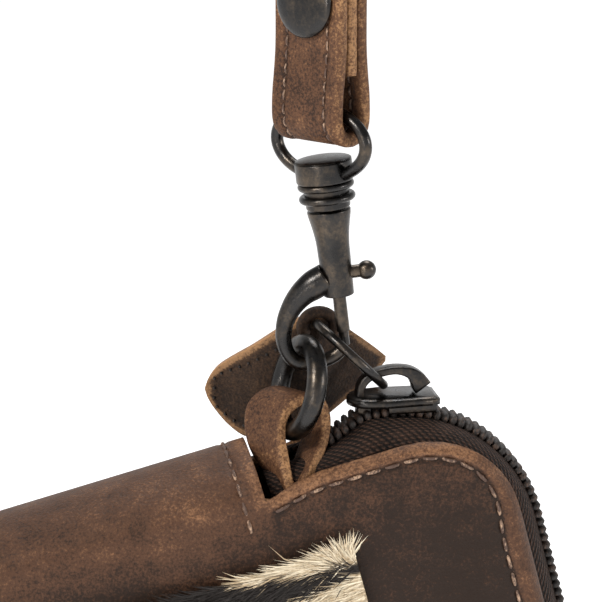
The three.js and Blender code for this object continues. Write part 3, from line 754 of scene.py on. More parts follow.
def smoothstep(value: np.ndarray, low: float, high: float) -> np.ndarray:
    """0 below one value, 1 above another and smooth between.

    Args:
        value: The numbers that are looked at.
        low: Where it leaves 0.
        high: Where it reaches 1.

    Returns:
        The step at each number.
    """
    t = np.clip((np.asarray(value, float) - low) / (high - low), 0, 1)
    return t * t * (3 - 2 * t)


@dataclass(frozen=True)
class Place:
    """A piece's own frame in the shared frame: origin in millimetres, turns in degrees."""

    origin: tuple
    yaw: float = 0
    pitch: float = 0
    lean: float = 0
    first_lean: float = 0

    def matrix(self) -> Matrix:
        """The frame as a matrix in millimetres.

        Returns:
            The matrix.
        """
        turn = Matrix.Rotation(math.radians(self.first_lean), 4, "Y")
        turn = turn @ Matrix.Rotation(math.radians(self.yaw), 4, "Z")
        turn = turn @ Matrix.Rotation(math.radians(self.pitch), 4, "X")
        turn = turn @ Matrix.Rotation(math.radians(self.lean), 4, "Y")
        return Matrix.Translation(Vector(self.origin)) @ turn


@dataclass
class Maker:
    """Turns surfaces into named objects with a finish."""

    materials: dict = field(default_factory=dict)

    def material(self, finish: object) -> bpy.types.Material:
        """The finish's material, made once.

        Args:
            finish: The finish.

        Returns:
            The material.
        """
        if finish.name not in self.materials:
            self.materials[finish.name] = finish.material()
        return self.materials[finish.name]

    def piece(
        self,
        name: str,
        surface: Surface,
        place: Matrix,
        finishes: list,
        body: Body,
        slot: Slot,
        replaces: tuple = (),
        solid: float = 0,
        closed: bool = True,
    ) -> bpy.types.Object:
        """Makes one object.

        Args:
            name: Its plain name.
            surface: Its shape in its own frame.
            place: Its frame in the shared frame, in millimetres.
            finishes: Its finish, and its rim's if it has one.
            body: The body that it rides on.
            slot: Its material slot, which is not used.
            replaces: The CAD nodes that it stands for.
            solid: How thick a sheet is made, inwards.
            closed: Whether it is a closed body, which is turned the right way out.

        Returns:
            The object.
        """
        turn = np.array(place)
        points = (surface.points @ turn[:3, :3].T + turn[:3, 3]) * MM
        mesh = bpy.data.meshes.new(name)
        mesh.from_pydata(points.tolist(), [], surface.faces)
        mesh.validate()
        if not solid and closed:
            work = bmesh.new()
            work.from_mesh(mesh)
            bmesh.ops.recalc_face_normals(work, faces=work.faces)
            work.to_mesh(mesh)
            work.free()
        for key, values in surface.numbers.items():
            attribute = mesh.attributes.new(key, "FLOAT", "POINT")
            attribute.data.foreach_set("value", np.asarray(values, np.float32))
        mesh.polygons.foreach_set("use_smooth", [True] * len(mesh.polygons))
        for finish in finishes:
            mesh.materials.append(self.material(finish))
        made = bpy.data.objects.new(name, mesh)
        bpy.context.scene.collection.objects.link(made)
        if solid:
            thick = made.modifiers.new("thickness", "SOLIDIFY")
            thick.thickness, thick.offset = solid * MM, -1
            thick.use_even_offset = True
            thick.material_offset_rim = len(finishes) - 1
            self._apply(made)
        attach(made, body.value)
        if replaces:
            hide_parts(*replaces)
        LOG.info("%s: %d faces", name, len(made.data.polygons))
        return made

    def _apply(self, made: bpy.types.Object) -> None:
        """Puts the modifiers into the mesh.

        Args:
            made: The object.
        """
        graph = bpy.context.evaluated_depsgraph_get()
        mesh = bpy.data.meshes.new_from_object(made.evaluated_get(graph), depsgraph=graph)
        made.modifiers.clear()
        made.data = mesh


FINISH = Finishes()
# Places in the shared frame, in millimetres: where the rings hang, the clasp's boss and the bag's fold
SEAT = np.array([-2.5597, 0.2181, -559.99])
CLASP = (-0.5040, -0.6392, -529.6633)
BAG = Place((-32.9849, 0.2181, -584.9009), lean=-15)


# ---- the strap


@dataclass
class StrapAssembly:
    """The leather strap, its stitching and its rivet snap."""

    maker: Maker
    width: float = 13.5
    thick: float = 1.8
    gap: float = 0.3
    length: float = 1150
    shoulder: float = 55
    inner: float = 2.05
    front_end: float = 33.2
    middle_end: float = 10.5
    snap: float = 21.1
    neck: float = 15.45
    part: float = 37
    fold: float = 3.7595
    edge: float = 0.55
    seam_inset: float = 2.7
    stitch_pitch: float = 2
    stitch: float = 1.7
    thread: float = 0.2
    sunk: float = 0.22
    near_eye: float = 130
    near_end: float = 60
    cap: float = 5.35
    cap_rise: float = 1.15
    cap_wall: float = 0.35
    back_cap: float = 4
    back_cap_thick: float = 0.9
    rivet: float = 1.5
    place: Place = Place((-0.8330, -0.6392, -526.9834), yaw=-52.5)

    def doubled(self) -> np.ndarray:
        """The strip's middle line round the eye, from its front end to where it parts.

        Returns:
            Points (forward, up).
        """
        layer, radius = self.thick + self.gap, self.inner + self.thick / 2
        rise = self.neck - self.fold
        shares = ((0.9, 0.3), (0.45, 0.55), (0.1, 0.8))
        side = [(layer + (radius - layer) * out, self.fold + rise * up) for out, up in shares]
        turn = [math.radians(-18 * k) for k in range(11)]
        fold = [(radius * math.cos(a), self.fold + radius * math.sin(a)) for a in turn]
        down = [(layer, self.front_end), (layer, self.neck), *side[::-1]]
        back = [*[(-x, z) for x, z in side], (-layer, self.neck), (-layer, self.part)]
        return np.array([*down, *fold, *back])

    def path(self) -> np.ndarray:
        """The strip's middle line, round the eye, over the shoulder and down between its layers.

        Returns:
            Points (forward, up).
        """
        doubled = self.doubled()
        end = np.array([(0, self.part), (0, self.middle_end)])
        spare = self.length - distances(doubled)[-1] - distances(end)[-1]
        low, high = self.shoulder, spare
        for _ in range(50):
            height = (low + high) / 2
            leg = math.sqrt(height**2 - self.shoulder**2)
            wrap = math.pi + 2 * math.asin(self.shoulder / height)
            low, high = (height, high) if 2 * leg + self.shoulder * wrap < spare else (low, height)
        slope = math.asin(self.shoulder / low)
        angles = np.linspace(math.pi + slope, -slope, 60)
        x = self.shoulder * np.cos(angles) - (self.thick + self.gap) / 2
        z = self.shoulder * np.sin(angles) + self.part + low
        return np.concatenate([doubled, np.stack([x, z], 1), end])

    def section(self) -> np.ndarray:
        """The strip's outline, with a groove under each row of thread and puffed edges.

        Returns:
            Points (out, across).
        """
        half, r = self.width / 2, self.edge
        w = np.linspace(half - r, -half + r, 41)
        away = half - np.abs(w)
        puff = 0.14 * np.exp(-(((away - 1.3) / 0.8) ** 2))
        groove = 0.3 * np.exp(-(((away - self.seam_inset) / 0.32) ** 2))
        out = self.thick / 2 + puff - groove
        angles = np.radians(np.linspace(0, 180, 9)[1:-1])
        side = np.stack([self.thick / 2 * np.cos(angles), half - r + r * np.sin(angles)], 1)
        back = np.stack([-out, w], 1)
        front = np.stack([out, w], 1)[::-1]
        return np.concatenate([front, side, back, np.stack([-side[:, 0], -side[:, 1]], 1)])

    def build(self) -> None:
        """Makes the strap, its thread and its snap."""
        raw = self.path()
        run = distances(raw)
        near = np.arange(0, self.near_eye, 0.8)
        far = np.arange(self.near_eye, run[-1] - self.near_end, 6)
        close = np.arange(run[-1] - self.near_end, run[-1], 1.2)
        where = np.unique(np.concatenate([near, far, close, [run[-1]]]))
        path = sampled(raw, run, where)
        for _ in range(2):
            path[1:-1] = (path[:-2] + 2 * path[1:-1] + path[2:]) / 4
        self.leather(path, where)
        self.stitching(path)
        self.snap_cap()

    @staticmethod
    def moved(path: np.ndarray, off: float, side: float) -> np.ndarray:
        """The middle line moved.

        Args:
            path: The middle line.
            off: How far it moves out of the strip.
            side: How far it moves across the strip.

        Returns:
            Points (x, y, z).
        """
        q = path + left_of(path) * off
        return np.stack([np.full(len(q), side), -q[:, 0], q[:, 1]], 1)

    def leather(self, path: np.ndarray, where: np.ndarray) -> None:
        """Makes the strip.

        Args:
            path: The middle line.
            where: How far along the strip its points lie.
        """
        section = self.section()
        across = np.abs(section[:, 1])
        made = grid(np.stack([self.moved(path, o, w) for o, w in section], 1), around=True, caps=True)
        line = np.exp(-(((across - self.width / 2 + self.seam_inset) / 0.3) ** 2))
        flat = 0.42 + 0.2 * smoothstep(across, self.width / 2 - 1.2, self.width / 2 - 0.2) - 0.4 * line
        worn = 0.12 * np.sin(where * 0.21) + 0.1 * np.sin(where * 0.083 + 2)
        tone = (flat[None, :] + worn[:, None] * (1 - line)[None, :]).reshape(-1)
        made.numbers["tone"] = np.concatenate([tone, [0.6, 0.6]])
        place, finish = self.place.matrix(), [FINISH.strap]
        self.maker.piece("strap_leather", made, place, finish, Body.STRAP, Slot.BROWN_LEATHER, ("strap",))

    def stitching(self, path: np.ndarray) -> None:
        """Makes two rows of thread on each face.

        Args:
            path: The middle line.
        """
        out = left_of(path)
        rows = []
        for face in (-1, 1):
            for row in (-1, 1):
                off, side = face * (self.thick / 2 - self.sunk), row * (self.width / 2 - self.seam_inset)
                line = self.moved(path, off, side)[4:-4]
                away = np.stack([np.zeros(len(out)), -out[:, 0] * face, out[:, 1] * face], 1)[4:-4]
                rows.append(seam(line, away, self.stitch_pitch, self.stitch, self.thread))
        thread = rows[0].joined(*rows[1:])
        place, finish = self.place.matrix(), [FINISH.thread]
        self.maker.piece("strap_stitching", thread, place, finish, Body.STRAP, Slot.BROWN_LEATHER)

    def snap_cap(self) -> None:
        """Makes the rivet snap: a dome in front, a post and a flat back."""
        face = 1.5 * self.thick + 2 * self.gap
        r, back = self.cap, self.back_cap
        low = -face - self.back_cap_thick
        profile = [(0, low), (back - 0.4, low), (back, low + 0.4), (back, -face), (self.rivet, -face)]
        profile += [(self.rivet, face), (r - 0.25, face), (r, face + 0.15)]
        for a in np.linspace(0, math.pi / 2, 14)[:-1]:
            profile.append((r * math.cos(a), face + self.cap_wall + self.cap_rise * math.sin(a)))
        made = turned([*profile, (0, face + self.cap_wall + self.cap_rise)])
        x, y, z = made.points.T
        made.points = np.stack([x, -z, y + self.snap], 1)
        place, finish = self.place.matrix(), [FINISH.metal]
        self.maker.piece("snap_cap", made, place, finish, Body.STRAP, Slot.GUNMETAL, ("strap_snap",))


# ---- the swivel snap hook


@dataclass
class SnapHook:
    """The eye, the hook and the gate."""

    maker: Maker
    eye_half_width: float = 9.05
    eye_half_height: float = 5.2
    eye_wire: float = 0.95
    eye_rise: float = 2.7
    boss: float = 4.3
    boss_height: float = 3.15
    collar: float = 4.25
    collar_wire: float = 0.58
    collar_pitch: float = 1.89
    head: float = 3.4
    post: float = 1.5
    play: float = 0.3
    seat: float = 0.9
    barrel: float = 3.3
    barrel_top: float = 7.51
    barrel_length: float = 13.2
    waist: float = 0.85
    mouth: float = 2.3
    bore: float = 1.3
    bore_depth: float = 3
    pin: float = 1
    pin_top: float = -16.1
    tip: float = 0.75
    tip_length: float = 2.2
    tip_end: float = -28.6
    knob: float = 1.45
    knob_down: float = 17.4
    knob_reach: float = 4.55
    eye_place: Place = Place(CLASP, first_lean=-7, yaw=-52.5)
    hook_place: Place = Place(CLASP, first_lean=-7, yaw=-8.5)

    def build(self) -> None:
        """Makes the three pieces."""
        self.eye()
        self.hook()
        self.gate()

    def eye(self) -> None:
        """Makes the oval eye, its boss and its collars."""
        x, y = np.cos(turns(72)), np.sin(turns(72))
        oval = np.stack([self.eye_half_width * x, 0 * x, self.eye_rise + self.eye_half_height * y], 1)
        wire = tube(oval, self.eye_wire, 20, closed=True)
        groove = self.collar - self.collar_wire * 1.6
        head, post = self.head + self.play, self.post + self.play
        end = -self.barrel_top + self.play
        profile = [(head, -self.seat), (head, 0), (self.boss, 0), (self.boss, -self.boss_height)]
        profile += [(groove, -self.boss_height), (groove, end), (post, end), (post, -self.seat)]
        ring = turned(softened([*profile, profile[0]], 0.3, 4))
        collars = []
        for k in range(2):
            down = -self.boss_height - self.collar_wire - self.collar_pitch * k
            r = self.collar - self.collar_wire
            path = np.stack([r * x, r * y, np.full(72, down)], 1)
            collars.append(tube(path, self.collar_wire, 14, closed=True))
        made = wire.joined(ring, *collars)
        place, finish = self.eye_place.matrix(), [FINISH.metal]
        self.maker.piece("snap_hook_eye", made, place, finish, Body.STRAP, Slot.GUNMETAL, ("clasp_eye",))

    def barrel_profile(self) -> list:
        """The riveted head, the post and the waisted barrel.

        Returns:
            Pairs of radius and height.
        """
        top, length = -self.barrel_top, self.barrel_length
        rim, under, bottom = 0.03, -0.6, top - length
        cap = [(self.boss * math.sin(a), 0.06 + 0.5 * math.cos(a)) for a in np.linspace(0, math.pi / 2, 9)]
        profile = [*cap, (self.boss - 0.1, rim), (self.head, rim), (self.head, under)]
        profile += [(self.post, under), (self.post, top), (self.barrel, top)]
        for t in np.linspace(0.06, 1, 12):
            radius = self.barrel - self.waist * math.sin(t * math.pi / 2)
            profile.append((radius, top - 0.4 - 0.45 * length * t))
        floor = bottom + self.bore_depth
        profile += [(self.mouth, bottom), (self.bore, bottom), (self.bore, floor), (0, floor)]
        return softened(profile, 0.18)

    @staticmethod
    def horn() -> Surface:
        """The tapered horn, through listed points (x, z, radius).

        Returns:
            The horn's surface.
        """
        points = [(-1.55, -17.77, 2.2), (-3.64, -18.79, 2.26), (-5.46, -19.93, 1.94), (-7.1, -21.57, 1.63)]
        points += [(-8.46, -23.79, 1.365), (-9.1, -26.27, 1.21), (-8.87, -28.58, 1.13), (-7.74, -30.28, 1.09)]
        points += [(-5.82, -30.9, 1.05), (-3.82, -30.78, 1.05), (-1.82, -30.13, 1.02), (-0.46, -29.2, 0.97)]
        curve = smooth_path([*points, (0, -28.95, 0.8)], 90)
        path = np.stack([curve[:, 0], np.zeros(len(curve)), curve[:, 1]], 1)
        return tube(path, curve[:, 2], 28)

    def hook(self) -> None:
        """Makes the post, the barrel and the horn."""
        made = turned(self.barrel_profile()).joined(self.horn())
        place, finish = self.hook_place.matrix(), [FINISH.metal]
        self.maker.piece("snap_hook", made, place, finish, Body.BAG, Slot.GUNMETAL, ("clasp_hook",))

    def gate(self) -> None:
        """Makes the sliding pin and its knob."""
        step = self.tip_end + self.tip_length
        profile = [(0, self.pin_top), (self.pin, self.pin_top), (self.pin, step)]
        profile += [(self.tip, step), (self.tip, self.tip_end), (0, self.tip_end)]
        pin = turned(softened(profile, 0.1), 32)
        reach = np.linspace(0, self.knob_reach, 6)
        rod = tube(np.array([(x, 0, -self.knob_down) for x in reach]), self.pin, 20)
        angles = np.linspace(0, math.pi, 20)
        ball = turned([(self.knob * math.sin(a), self.knob * math.cos(a)) for a in angles], 32)
        ball.points = ball.points + np.array([self.knob_reach, 0, -self.knob_down])
        made = pin.joined(rod, ball)
        place, finish = self.hook_place.matrix(), [FINISH.metal]
        self.maker.piece("snap_hook_gate", made, place, finish, Body.GATE, Slot.GUNMETAL, ("clasp_gate",))


# ---- the ring, its tab, the puller and its pull


@dataclass
class RingAndTab:
    """The thick ring and the leather loop that holds it."""

    maker: Maker
    ring: float = 6.65
    wire: float = 1.55
    width: float = 6.4
    thick: float = 1.7
    across: float = 7.1
    rise: float = 10.7
    forward: float = 6.4
    forward_end: float = 7.2
    twist: float = 26
    ring_place: Place = Place((-2.5597, 0.2181, -558.1399), yaw=-77, pitch=-14)
    tab_place: Place = Place((-9.0318, 0.2181, -576.9298), yaw=13)

    def build(self) -> None:
        """Makes both."""
        r = self.ring
        path = np.stack([r * np.cos(turns(96)), np.zeros(96), r * np.sin(turns(96)) - r], 1)
        made = tube(path, self.wire, 28, closed=True)
        place, finish = self.ring_place.matrix(), [FINISH.metal]
        self.maker.piece("thick_ring", made, place, finish, Body.BAG, Slot.GUNMETAL, ("bag_ring",))
        self.tab()

    def tab(self) -> None:
        """Makes the loop, gathered forward at its root and spread over the ring."""
        loop = [(0.2, -0.24), (0.04, -0.04), (-0.09, 0.2), (-0.12, 0.5), (0.0, 0.8), (0.27, 0.97)]
        loop += [(0.58, 1.01), (0.9, 0.92), (1.08, 0.68), (1.02, 0.42), (0.74, 0.18), (0.42, -0.04)]
        loop.append((0.26, -0.22))
        p = smooth_path([(self.across * x, self.rise * z) for x, z in loop], 110)
        n = left_of(p)
        share = np.linspace(0, 1, len(p))
        spread = 0.6 + 0.62 * np.sin(share * math.pi) ** 0.5
        forward = self.forward * (1 - smoothstep(share, 0, 0.36))
        forward = forward + self.forward_end * smoothstep(share, 0.62, 1)
        section = round_section(self.thick, self.width, 0.6, 6)
        twist = np.radians(self.twist) * smoothstep(share, 0.02, 0.22) * (1 - smoothstep(share, 0.5, 0.8))
        rings = np.zeros((len(p), len(section), 3))
        for k, (o, w) in enumerate(section):
            q = p + n * o
            x = q[:, 0] - w * spread * np.sin(twist) + 0.5 * np.sin(twist)
            rings[:, k] = np.stack([x, w * spread * np.cos(twist) - forward, q[:, 1]], 1)
        made = grid(rings, around=True, caps=True)
        edge = smoothstep(np.abs(section[:, 1]) / (self.width / 2), 0.86, 1.0)
        made.numbers["tone"] = np.concatenate([np.tile(0.36 + 0.36 * edge, len(p)), [0.7, 0.7]])
        place, finish = self.tab_place.matrix(), [FINISH.strap]
        self.maker.piece("tab_leather", made, place, finish, Body.BAG, Slot.BROWN_LEATHER, ("ring_tab",))


@dataclass
class Puller:
    """The thin ring and the folded leather pull."""

    maker: Maker
    ring: float = 6.9
    wire: float = 0.72
    length: float = 20.5
    thick: float = 2
    lean: float = 0.3
    droop: float = 0.24
    columns: int = 46
    levels: int = 40
    hole_pitch: float = 1.75
    hole_length: float = 0.5
    hole_radius: float = 0.26
    hole: tuple = (-0.2198, 5.7835, -556.3588)
    rise: tuple = (-0.65, 0.49, 0.58)
    front: tuple = (-0.31, -0.87, 0.385)

    def build(self) -> None:
        """Makes both."""
        up = np.array(self.rise) / np.linalg.norm(self.rise)
        side = np.array(self.front) - up * np.dot(self.front, up)
        side /= np.linalg.norm(side)
        round_way = np.cos(turns(96))[:, None] * up + np.sin(turns(96))[:, None] * side
        path = np.array(self.hole) - up * self.ring + self.ring * round_way
        made = tube(path, self.wire, 18, closed=True)
        place, finish = Matrix.Identity(4), [FINISH.metal]
        self.maker.piece("thin_ring", made, place, finish, Body.BAG, Slot.GUNMETAL, ("puller_ring",))
        self.pull()

    def wing(self, side: float, rows: list, spread: float, stretch: float) -> Surface:
        """One wing of the pull, as a sheet.

        Args:
            side: -1 for the left wing, 1 for the right one.
            rows: Across, top and bottom, as shares of the pull's length.
            spread: How far it falls back for each step outwards.
            stretch: How much wider it is made.

        Returns:
            The sheet, facing forward.
        """
        table = np.array(rows)
        n, m = self.columns, self.levels
        top = smooth_path(table[:, :2].tolist(), 200)
        low = smooth_path(table[:, [0, 2]].tolist(), 200)
        rings, tones = [], []
        for x in np.linspace(0, table[-1, 0], n):
            z1 = -np.interp(x, top[:, 0], top[:, 1]) * self.length
            z0 = -np.interp(x, low[:, 0], low[:, 1]) * self.length
            z = np.linspace(z1, z0, m)
            reach = x * self.length
            y = spread * reach - self.lean * z * 0.9 + 0.25 * np.sin(reach * 0.5) - self.thick / 2
            across = np.full(m, side * reach * stretch)
            rings.append(np.stack([across, y, z * 1.07 - self.droop * spread * reach], 1))
            edge = np.minimum(np.minimum(z1 - z, z - z0), (table[-1, 0] - x) * self.length)
            tones.append(0.16 + 0.75 * (1 - smoothstep(edge, 0.5, 1.6)))
        made = grid(np.array(rings))
        if side < 0:
            made.faces = [face[::-1] for face in made.faces]
        made.numbers["tone"] = np.concatenate(tones)
        return made

    def holes(self, wing: Surface) -> None:
        """Makes the row of needle holes inside a wing's edge, as dark marks of painted shade.

        Args:
            wing: The left wing's sheet.
        """
        sheet = wing.points.reshape(self.columns, self.levels, 3)
        near, far, outer = 6, 34, 41
        rows = [sheet[i, near] for i in range(12, outer + 1)]
        rows += [sheet[outer, j] for j in range(near + 1, far)]
        rows += [sheet[i, far] for i in range(outer, 14, -1)]
        path = np.array(rows)
        out = np.cross(np.gradient(sheet, axis=1), np.gradient(sheet, axis=0))[20, 20]
        flat = out / np.linalg.norm(out)
        flat = flat * -np.sign(flat[1])
        normals = np.tile(flat, (len(path), 1))
        # Dark capsules on the surface: painted shade where the needle holes are
        made = seam(path + flat * 0.02, normals, self.hole_pitch, self.hole_length, self.hole_radius)
        place, finish = Matrix.Translation(Vector(self.hole)), [FINISH.hole]
        self.maker.piece("pull_hole_shade", made, place, finish, Body.BAG, Slot.DARK_LEATHER)

    def pull(self) -> None:
        """Makes the two wings, the loop round the ring and the needle holes, marked as painted shade."""
        left = [(0, -0.1, 0.76), (0.09, -0.07, 0.79), (0.36, 0.08, 0.86), (0.51, 0.165, 0.86)]
        left += [(0.64, 0.24, 0.77), (0.75, 0.32, 0.64), (0.81, 0.4, 0.54), (0.83, 0.46, 0.48)]
        right = [(0, -0.1, 0.76), (0.1, -0.06, 0.7), (0.28, 0.09, 0.54), (0.4, 0.18, 0.42)]
        right.append((0.49, 0.26, 0.3))
        wing = self.wing(-1, left, 0.45, 0.97)
        made = wing.joined(self.wing(1, right, 0.7, 1.2))
        place, body, slot = Matrix.Translation(Vector(self.hole)), Body.BAG, Slot.DARK_LEATHER
        finish = [FINISH.pull, FINISH.strap]
        self.maker.piece("pull_leather", made, place, finish, body, slot, ("leather_pull",), solid=self.thick)
        self.holes(wing)
        angles = np.linspace(math.radians(-35), math.radians(215), 30)
        bow = np.stack([2.5 * np.cos(angles), np.zeros(30) - 0.9, 2.3 * np.sin(angles) - 0.1], 1)
        loop = tube(bow, 0.95, 14)
        loop.numbers["tone"] = np.full(len(loop.points), 0.2)
        self.maker.piece("pull_loop", loop, place, [FINISH.pull], body, slot)


# ---- the zip-round case


@dataclass(frozen=True)
class Rect:
    """A rounded rectangle in the bag's frame."""

    half: float
    top: float
    bottom: float
    corner: float

    def outside(self, x: np.ndarray, z: np.ndarray) -> np.ndarray:
        """How far points lie outside it, negative inside.

        Args:
            x: The points' places along the bag.
            z: The points' heights.

        Returns:
            The distances.
        """
        middle, tall = (self.top + self.bottom) / 2, (self.top - self.bottom) / 2
        dx = np.abs(x) - self.half + self.corner
        dz = np.abs(z - middle) - tall + self.corner
        corner = np.hypot(np.maximum(dx, 0), np.maximum(dz, 0))
        return corner + np.minimum(np.maximum(dx, dz), 0) - self.corner

    def reach(self, base: np.ndarray, out: np.ndarray) -> float:
        """How far a ray from inside goes before it leaves.

        Args:
            base: Where the ray starts, (x, z).
            out: Its way, a unit vector.

        Returns:
            The distance.
        """
        near, far = 0.0, 400.0
        for _ in range(40):
            middle = (near + far) / 2
            p = base + out * middle
            near, far = (middle, far) if self.outside(p[0], p[1]) < 0 else (near, middle)
        return near


@dataclass
class Case:
    """The leather body, the zip and the hide panel."""

    maker: Maker
    half_depth: float = 11
    leather: Rect = Rect(60.2, 1.4, -179.4, 15)
    chain: Rect = Rect(64.5, 6, -184, 24)
    notch: float = 23.2
    fold_rise: float = 6
    thick: float = 1.8
    seam_inset: float = 3.9
    top_seam_shift: float = 1.7
    fold_seam: float = 3.3
    stitch_pitch: float = 2.95
    rim_stitch: float = 2.55
    fold_stitch: float = 2.5
    thread: float = 0.29
    pressed: float = 0.25
    pitch: float = 1.35
    patch_half: float = 33.8
    patch_top: float = -10.5
    patch_bottom: float = -167.5
    patch_thick: float = 1.4
    tape_thick: float = 0.7
    tape_rows: int = 15
    tape_start: float = 1.2
    teeth_start: float = 9.5
    dip: float = 2.5
    rim_steps: tuple = (0, 0.2, 0.5, 0.9, 1.4, 1.9, 2.4, 2.9, 3.3, 3.6, 3.9, 4.2, 4.6, 5.4, 7, 9, 12, 15)
    top_steps: tuple = (
        *(0, 0.2, 0.45, 0.75, 1.1, 1.5, 1.8, 2.1, 2.4, 2.7),
        *(3.1, 3.6, 3.9, 4.2, 4.6, 5.4, 7, 9.5, 12.5),
    )

    def build(self) -> None:
        """Makes every piece of the case."""
        self.body()
        self.seams()
        self.zip()
        HidePanel(self.maker, self).build()

    def top_edge(self, x: np.ndarray) -> np.ndarray:
        """The leather's top edge.

        Args:
            x: Places along the bag.

        Returns:
            The edge's height at each.
        """
        x = np.abs(np.asarray(x, float))
        top = self.leather.top * smoothstep(x, self.notch, self.notch + 9)
        return top - self.corner_drop(x)

    def bottom_edge(self, x: np.ndarray) -> np.ndarray:
        """The leather's bottom edge at each place along the bag."""
        return self.leather.bottom + self.corner_drop(x)

    def corner_drop(self, x: np.ndarray) -> np.ndarray:
        """How far a corner's round takes the edge in.

        Args:
            x: Places along the bag.

        Returns:
            The distance at each.
        """
        r = self.leather.corner
        over = np.clip(np.abs(x) - self.leather.half + r, 0, r)
        return r - np.sqrt(r**2 - over**2)

    def inset(self, x: np.ndarray, z: np.ndarray) -> np.ndarray:
        """How far inside the leather's free edge points lie.

        Args:
            x: Places along the bag.
            z: Heights.

        Returns:
            The distances, which take no account of the fold between the notches.
        """
        folded = np.abs(x) < self.notch
        free = np.where(folded, 99.0, self.top_edge(x) - z)
        below_fold = np.minimum(-self.leather.outside(x, z - 60), 99.0)
        deep = np.where(folded, below_fold, -self.leather.outside(x, z))
        return np.maximum(np.minimum(deep, free), 0)

    def seam_at(self, z: np.ndarray) -> np.ndarray:
        """How far inside the edge the thread runs: closer along the top than down the sides."""
        return self.seam_inset - self.top_seam_shift * (1 - smoothstep(-np.asarray(z, float), 4, 18))

    def face(self, x: np.ndarray, z: np.ndarray) -> np.ndarray:
        """How far the leather stands from the middle, with its rolled edge, its groove and its puffs.

        Args:
            x: Places along the bag.
            z: Heights.

        Returns:
            The distances.
        """
        inset = self.inset(x, z)
        end = smoothstep(np.abs(x), self.notch - 0.1, self.notch + 5)
        roll = 0.75 * np.clip(1 - inset / 10, 0, 1) ** 2 + 1.15 * np.clip(1 - inset / 1.5, 0, 1) ** 2
        sewn = self.seam_at(z)
        groove = 0.3 * np.exp(-(((inset - sewn) / 0.45) ** 2))
        puff = 0.28 * np.exp(-(((inset - sewn * 0.5) / (sewn * 0.3)) ** 2))
        return self.half_depth - end * (roll + groove - puff) - self.fold_press(x) * smoothstep(z, -6.5, -2.5)

    def fold_press(self, x: np.ndarray) -> np.ndarray:
        """How deep the thread across the fold's ends presses into it at each place along the bag."""
        return self.pressed * np.exp(-((np.abs(np.abs(x) - self.notch + self.fold_seam) / 0.5) ** 2))

    def columns(self) -> np.ndarray:
        """Where the leather's mesh has its columns: close at the rims and at the fold's ends.

        Returns:
            Places along the bag.
        """
        notch = self.notch
        rim = self.leather.half - np.array(self.rim_steps)
        plain = np.linspace(self.leather.half - 18, notch + 11, 4)
        beside = notch + np.array([9, 5, 3, 1.6, 0.6, 0])
        fold = notch - np.array([0.5, 1.1, 1.8, 2.4, 2.9, 3.3, 3.7, 4.3])
        side = np.concatenate([rim, plain, beside, fold])
        return np.concatenate([-side, np.linspace(5.2 - notch, notch - 5.2, 18), side[::-1]])

    def panel(self, xs: np.ndarray) -> tuple:
        """The grid of the front and back panels.

        Args:
            xs: The columns.

        Returns:
            Places along the bag and heights, each by column and row.
        """
        rows = np.array(self.top_steps)
        shares = np.linspace(0, 1, 46)[1:-1]
        heights = []
        for x in xs:
            top, low = float(self.top_edge(x)), float(self.bottom_edge(x))
            span = top - low - 2 * rows[-1]
            heights.append(np.concatenate([top - rows, top - rows[-1] - span * shares, low + rows[::-1]]))
        gz = np.array(heights)
        return np.repeat(xs[:, None], gz.shape[1], 1), gz

    def tone(self, x: np.ndarray, z: np.ndarray) -> np.ndarray:
        """How pale the leather is: paler on its rims and at the fold's ends, and paler towards the top, most
        over the fold, as painted highlight.

        Args:
            x: Places along the bag.
            z: Heights.

        Returns:
            The tone at each.
        """
        notch = self.notch
        inset = np.where(np.abs(x) > notch, self.inset(x, np.minimum(z, self.top_edge(x))), 99)
        sewn = self.seam_at(z)
        rim = 1 - smoothstep(inset, sewn - 0.9, sewn)
        dark = np.exp(-(((inset - sewn - 0.2) / 0.5) ** 2))
        # Painted highlight: the top of the bag, most of all the fold, is painted paler where the light from
        # above falls on it
        fold = np.where(np.abs(x) > notch, 0.1, 0.4) * smoothstep(z, -9.5, 0.5)
        end = smoothstep(np.abs(x), notch - 2.4, notch - 1.4) * smoothstep(z, -3, 0)
        end = end * (np.abs(x) < notch + 0.1)
        right = smoothstep(x, -30, 15) * smoothstep(z, -20, -2)
        return -0.06 + 0.5 * rim - 0.2 * dark + fold + 0.22 * end + 0.12 * right

    def body(self) -> None:
        """Makes the leather sheet: front, fold and back, open at the notches."""
        xs = self.columns()
        gx, gz = self.panel(xs)
        gy = self.face(gx, gz)
        n, m = gx.shape
        front = np.stack([gx, -gy, gz], 2).reshape(-1, 3)
        back = np.stack([gx, gy, gz], 2).reshape(-1, 3)
        faces = []
        for i in range(n - 1):
            for j in range(m - 1):
                a, b = i * m + j, (i + 1) * m + j
                faces.append((a, a + 1, b + 1, b))
                faces.append((n * m + a, n * m + b, n * m + b + 1, n * m + a + 1))
        folded = [i for i in range(n) if abs(xs[i]) <= self.notch + 1e-6]
        angles = np.linspace(0, math.pi, 34)[1:-1]
        k, arch, chains = len(angles), [], []
        for c, i in enumerate(folded):
            pressed = self.fold_press(xs[i])
            y = (pressed - self.half_depth) * np.cos(angles)
            arch.append(np.stack([np.full(k, xs[i]), y, (self.fold_rise - pressed) * np.sin(angles)], 1))
            start = 2 * n * m + c * k
            chains.append([i * m, *range(start, start + k), n * m + i * m])
        for left, right in zip(chains, chains[1:]):
            faces += [(left[q + 1], left[q], right[q], right[q + 1]) for q in range(k + 1)]
        points = np.concatenate([front, back, *arch])
        made = Surface(points, faces, {"tone": self.tone(points[:, 0], points[:, 2])})
        place, finish, body, slot = BAG.matrix(), [FINISH.case, FINISH.strap], Body.BAG, Slot.DARK_LEATHER
        self.maker.piece("case_leather", made, place, finish, body, slot, ("leather_body",), solid=self.thick)

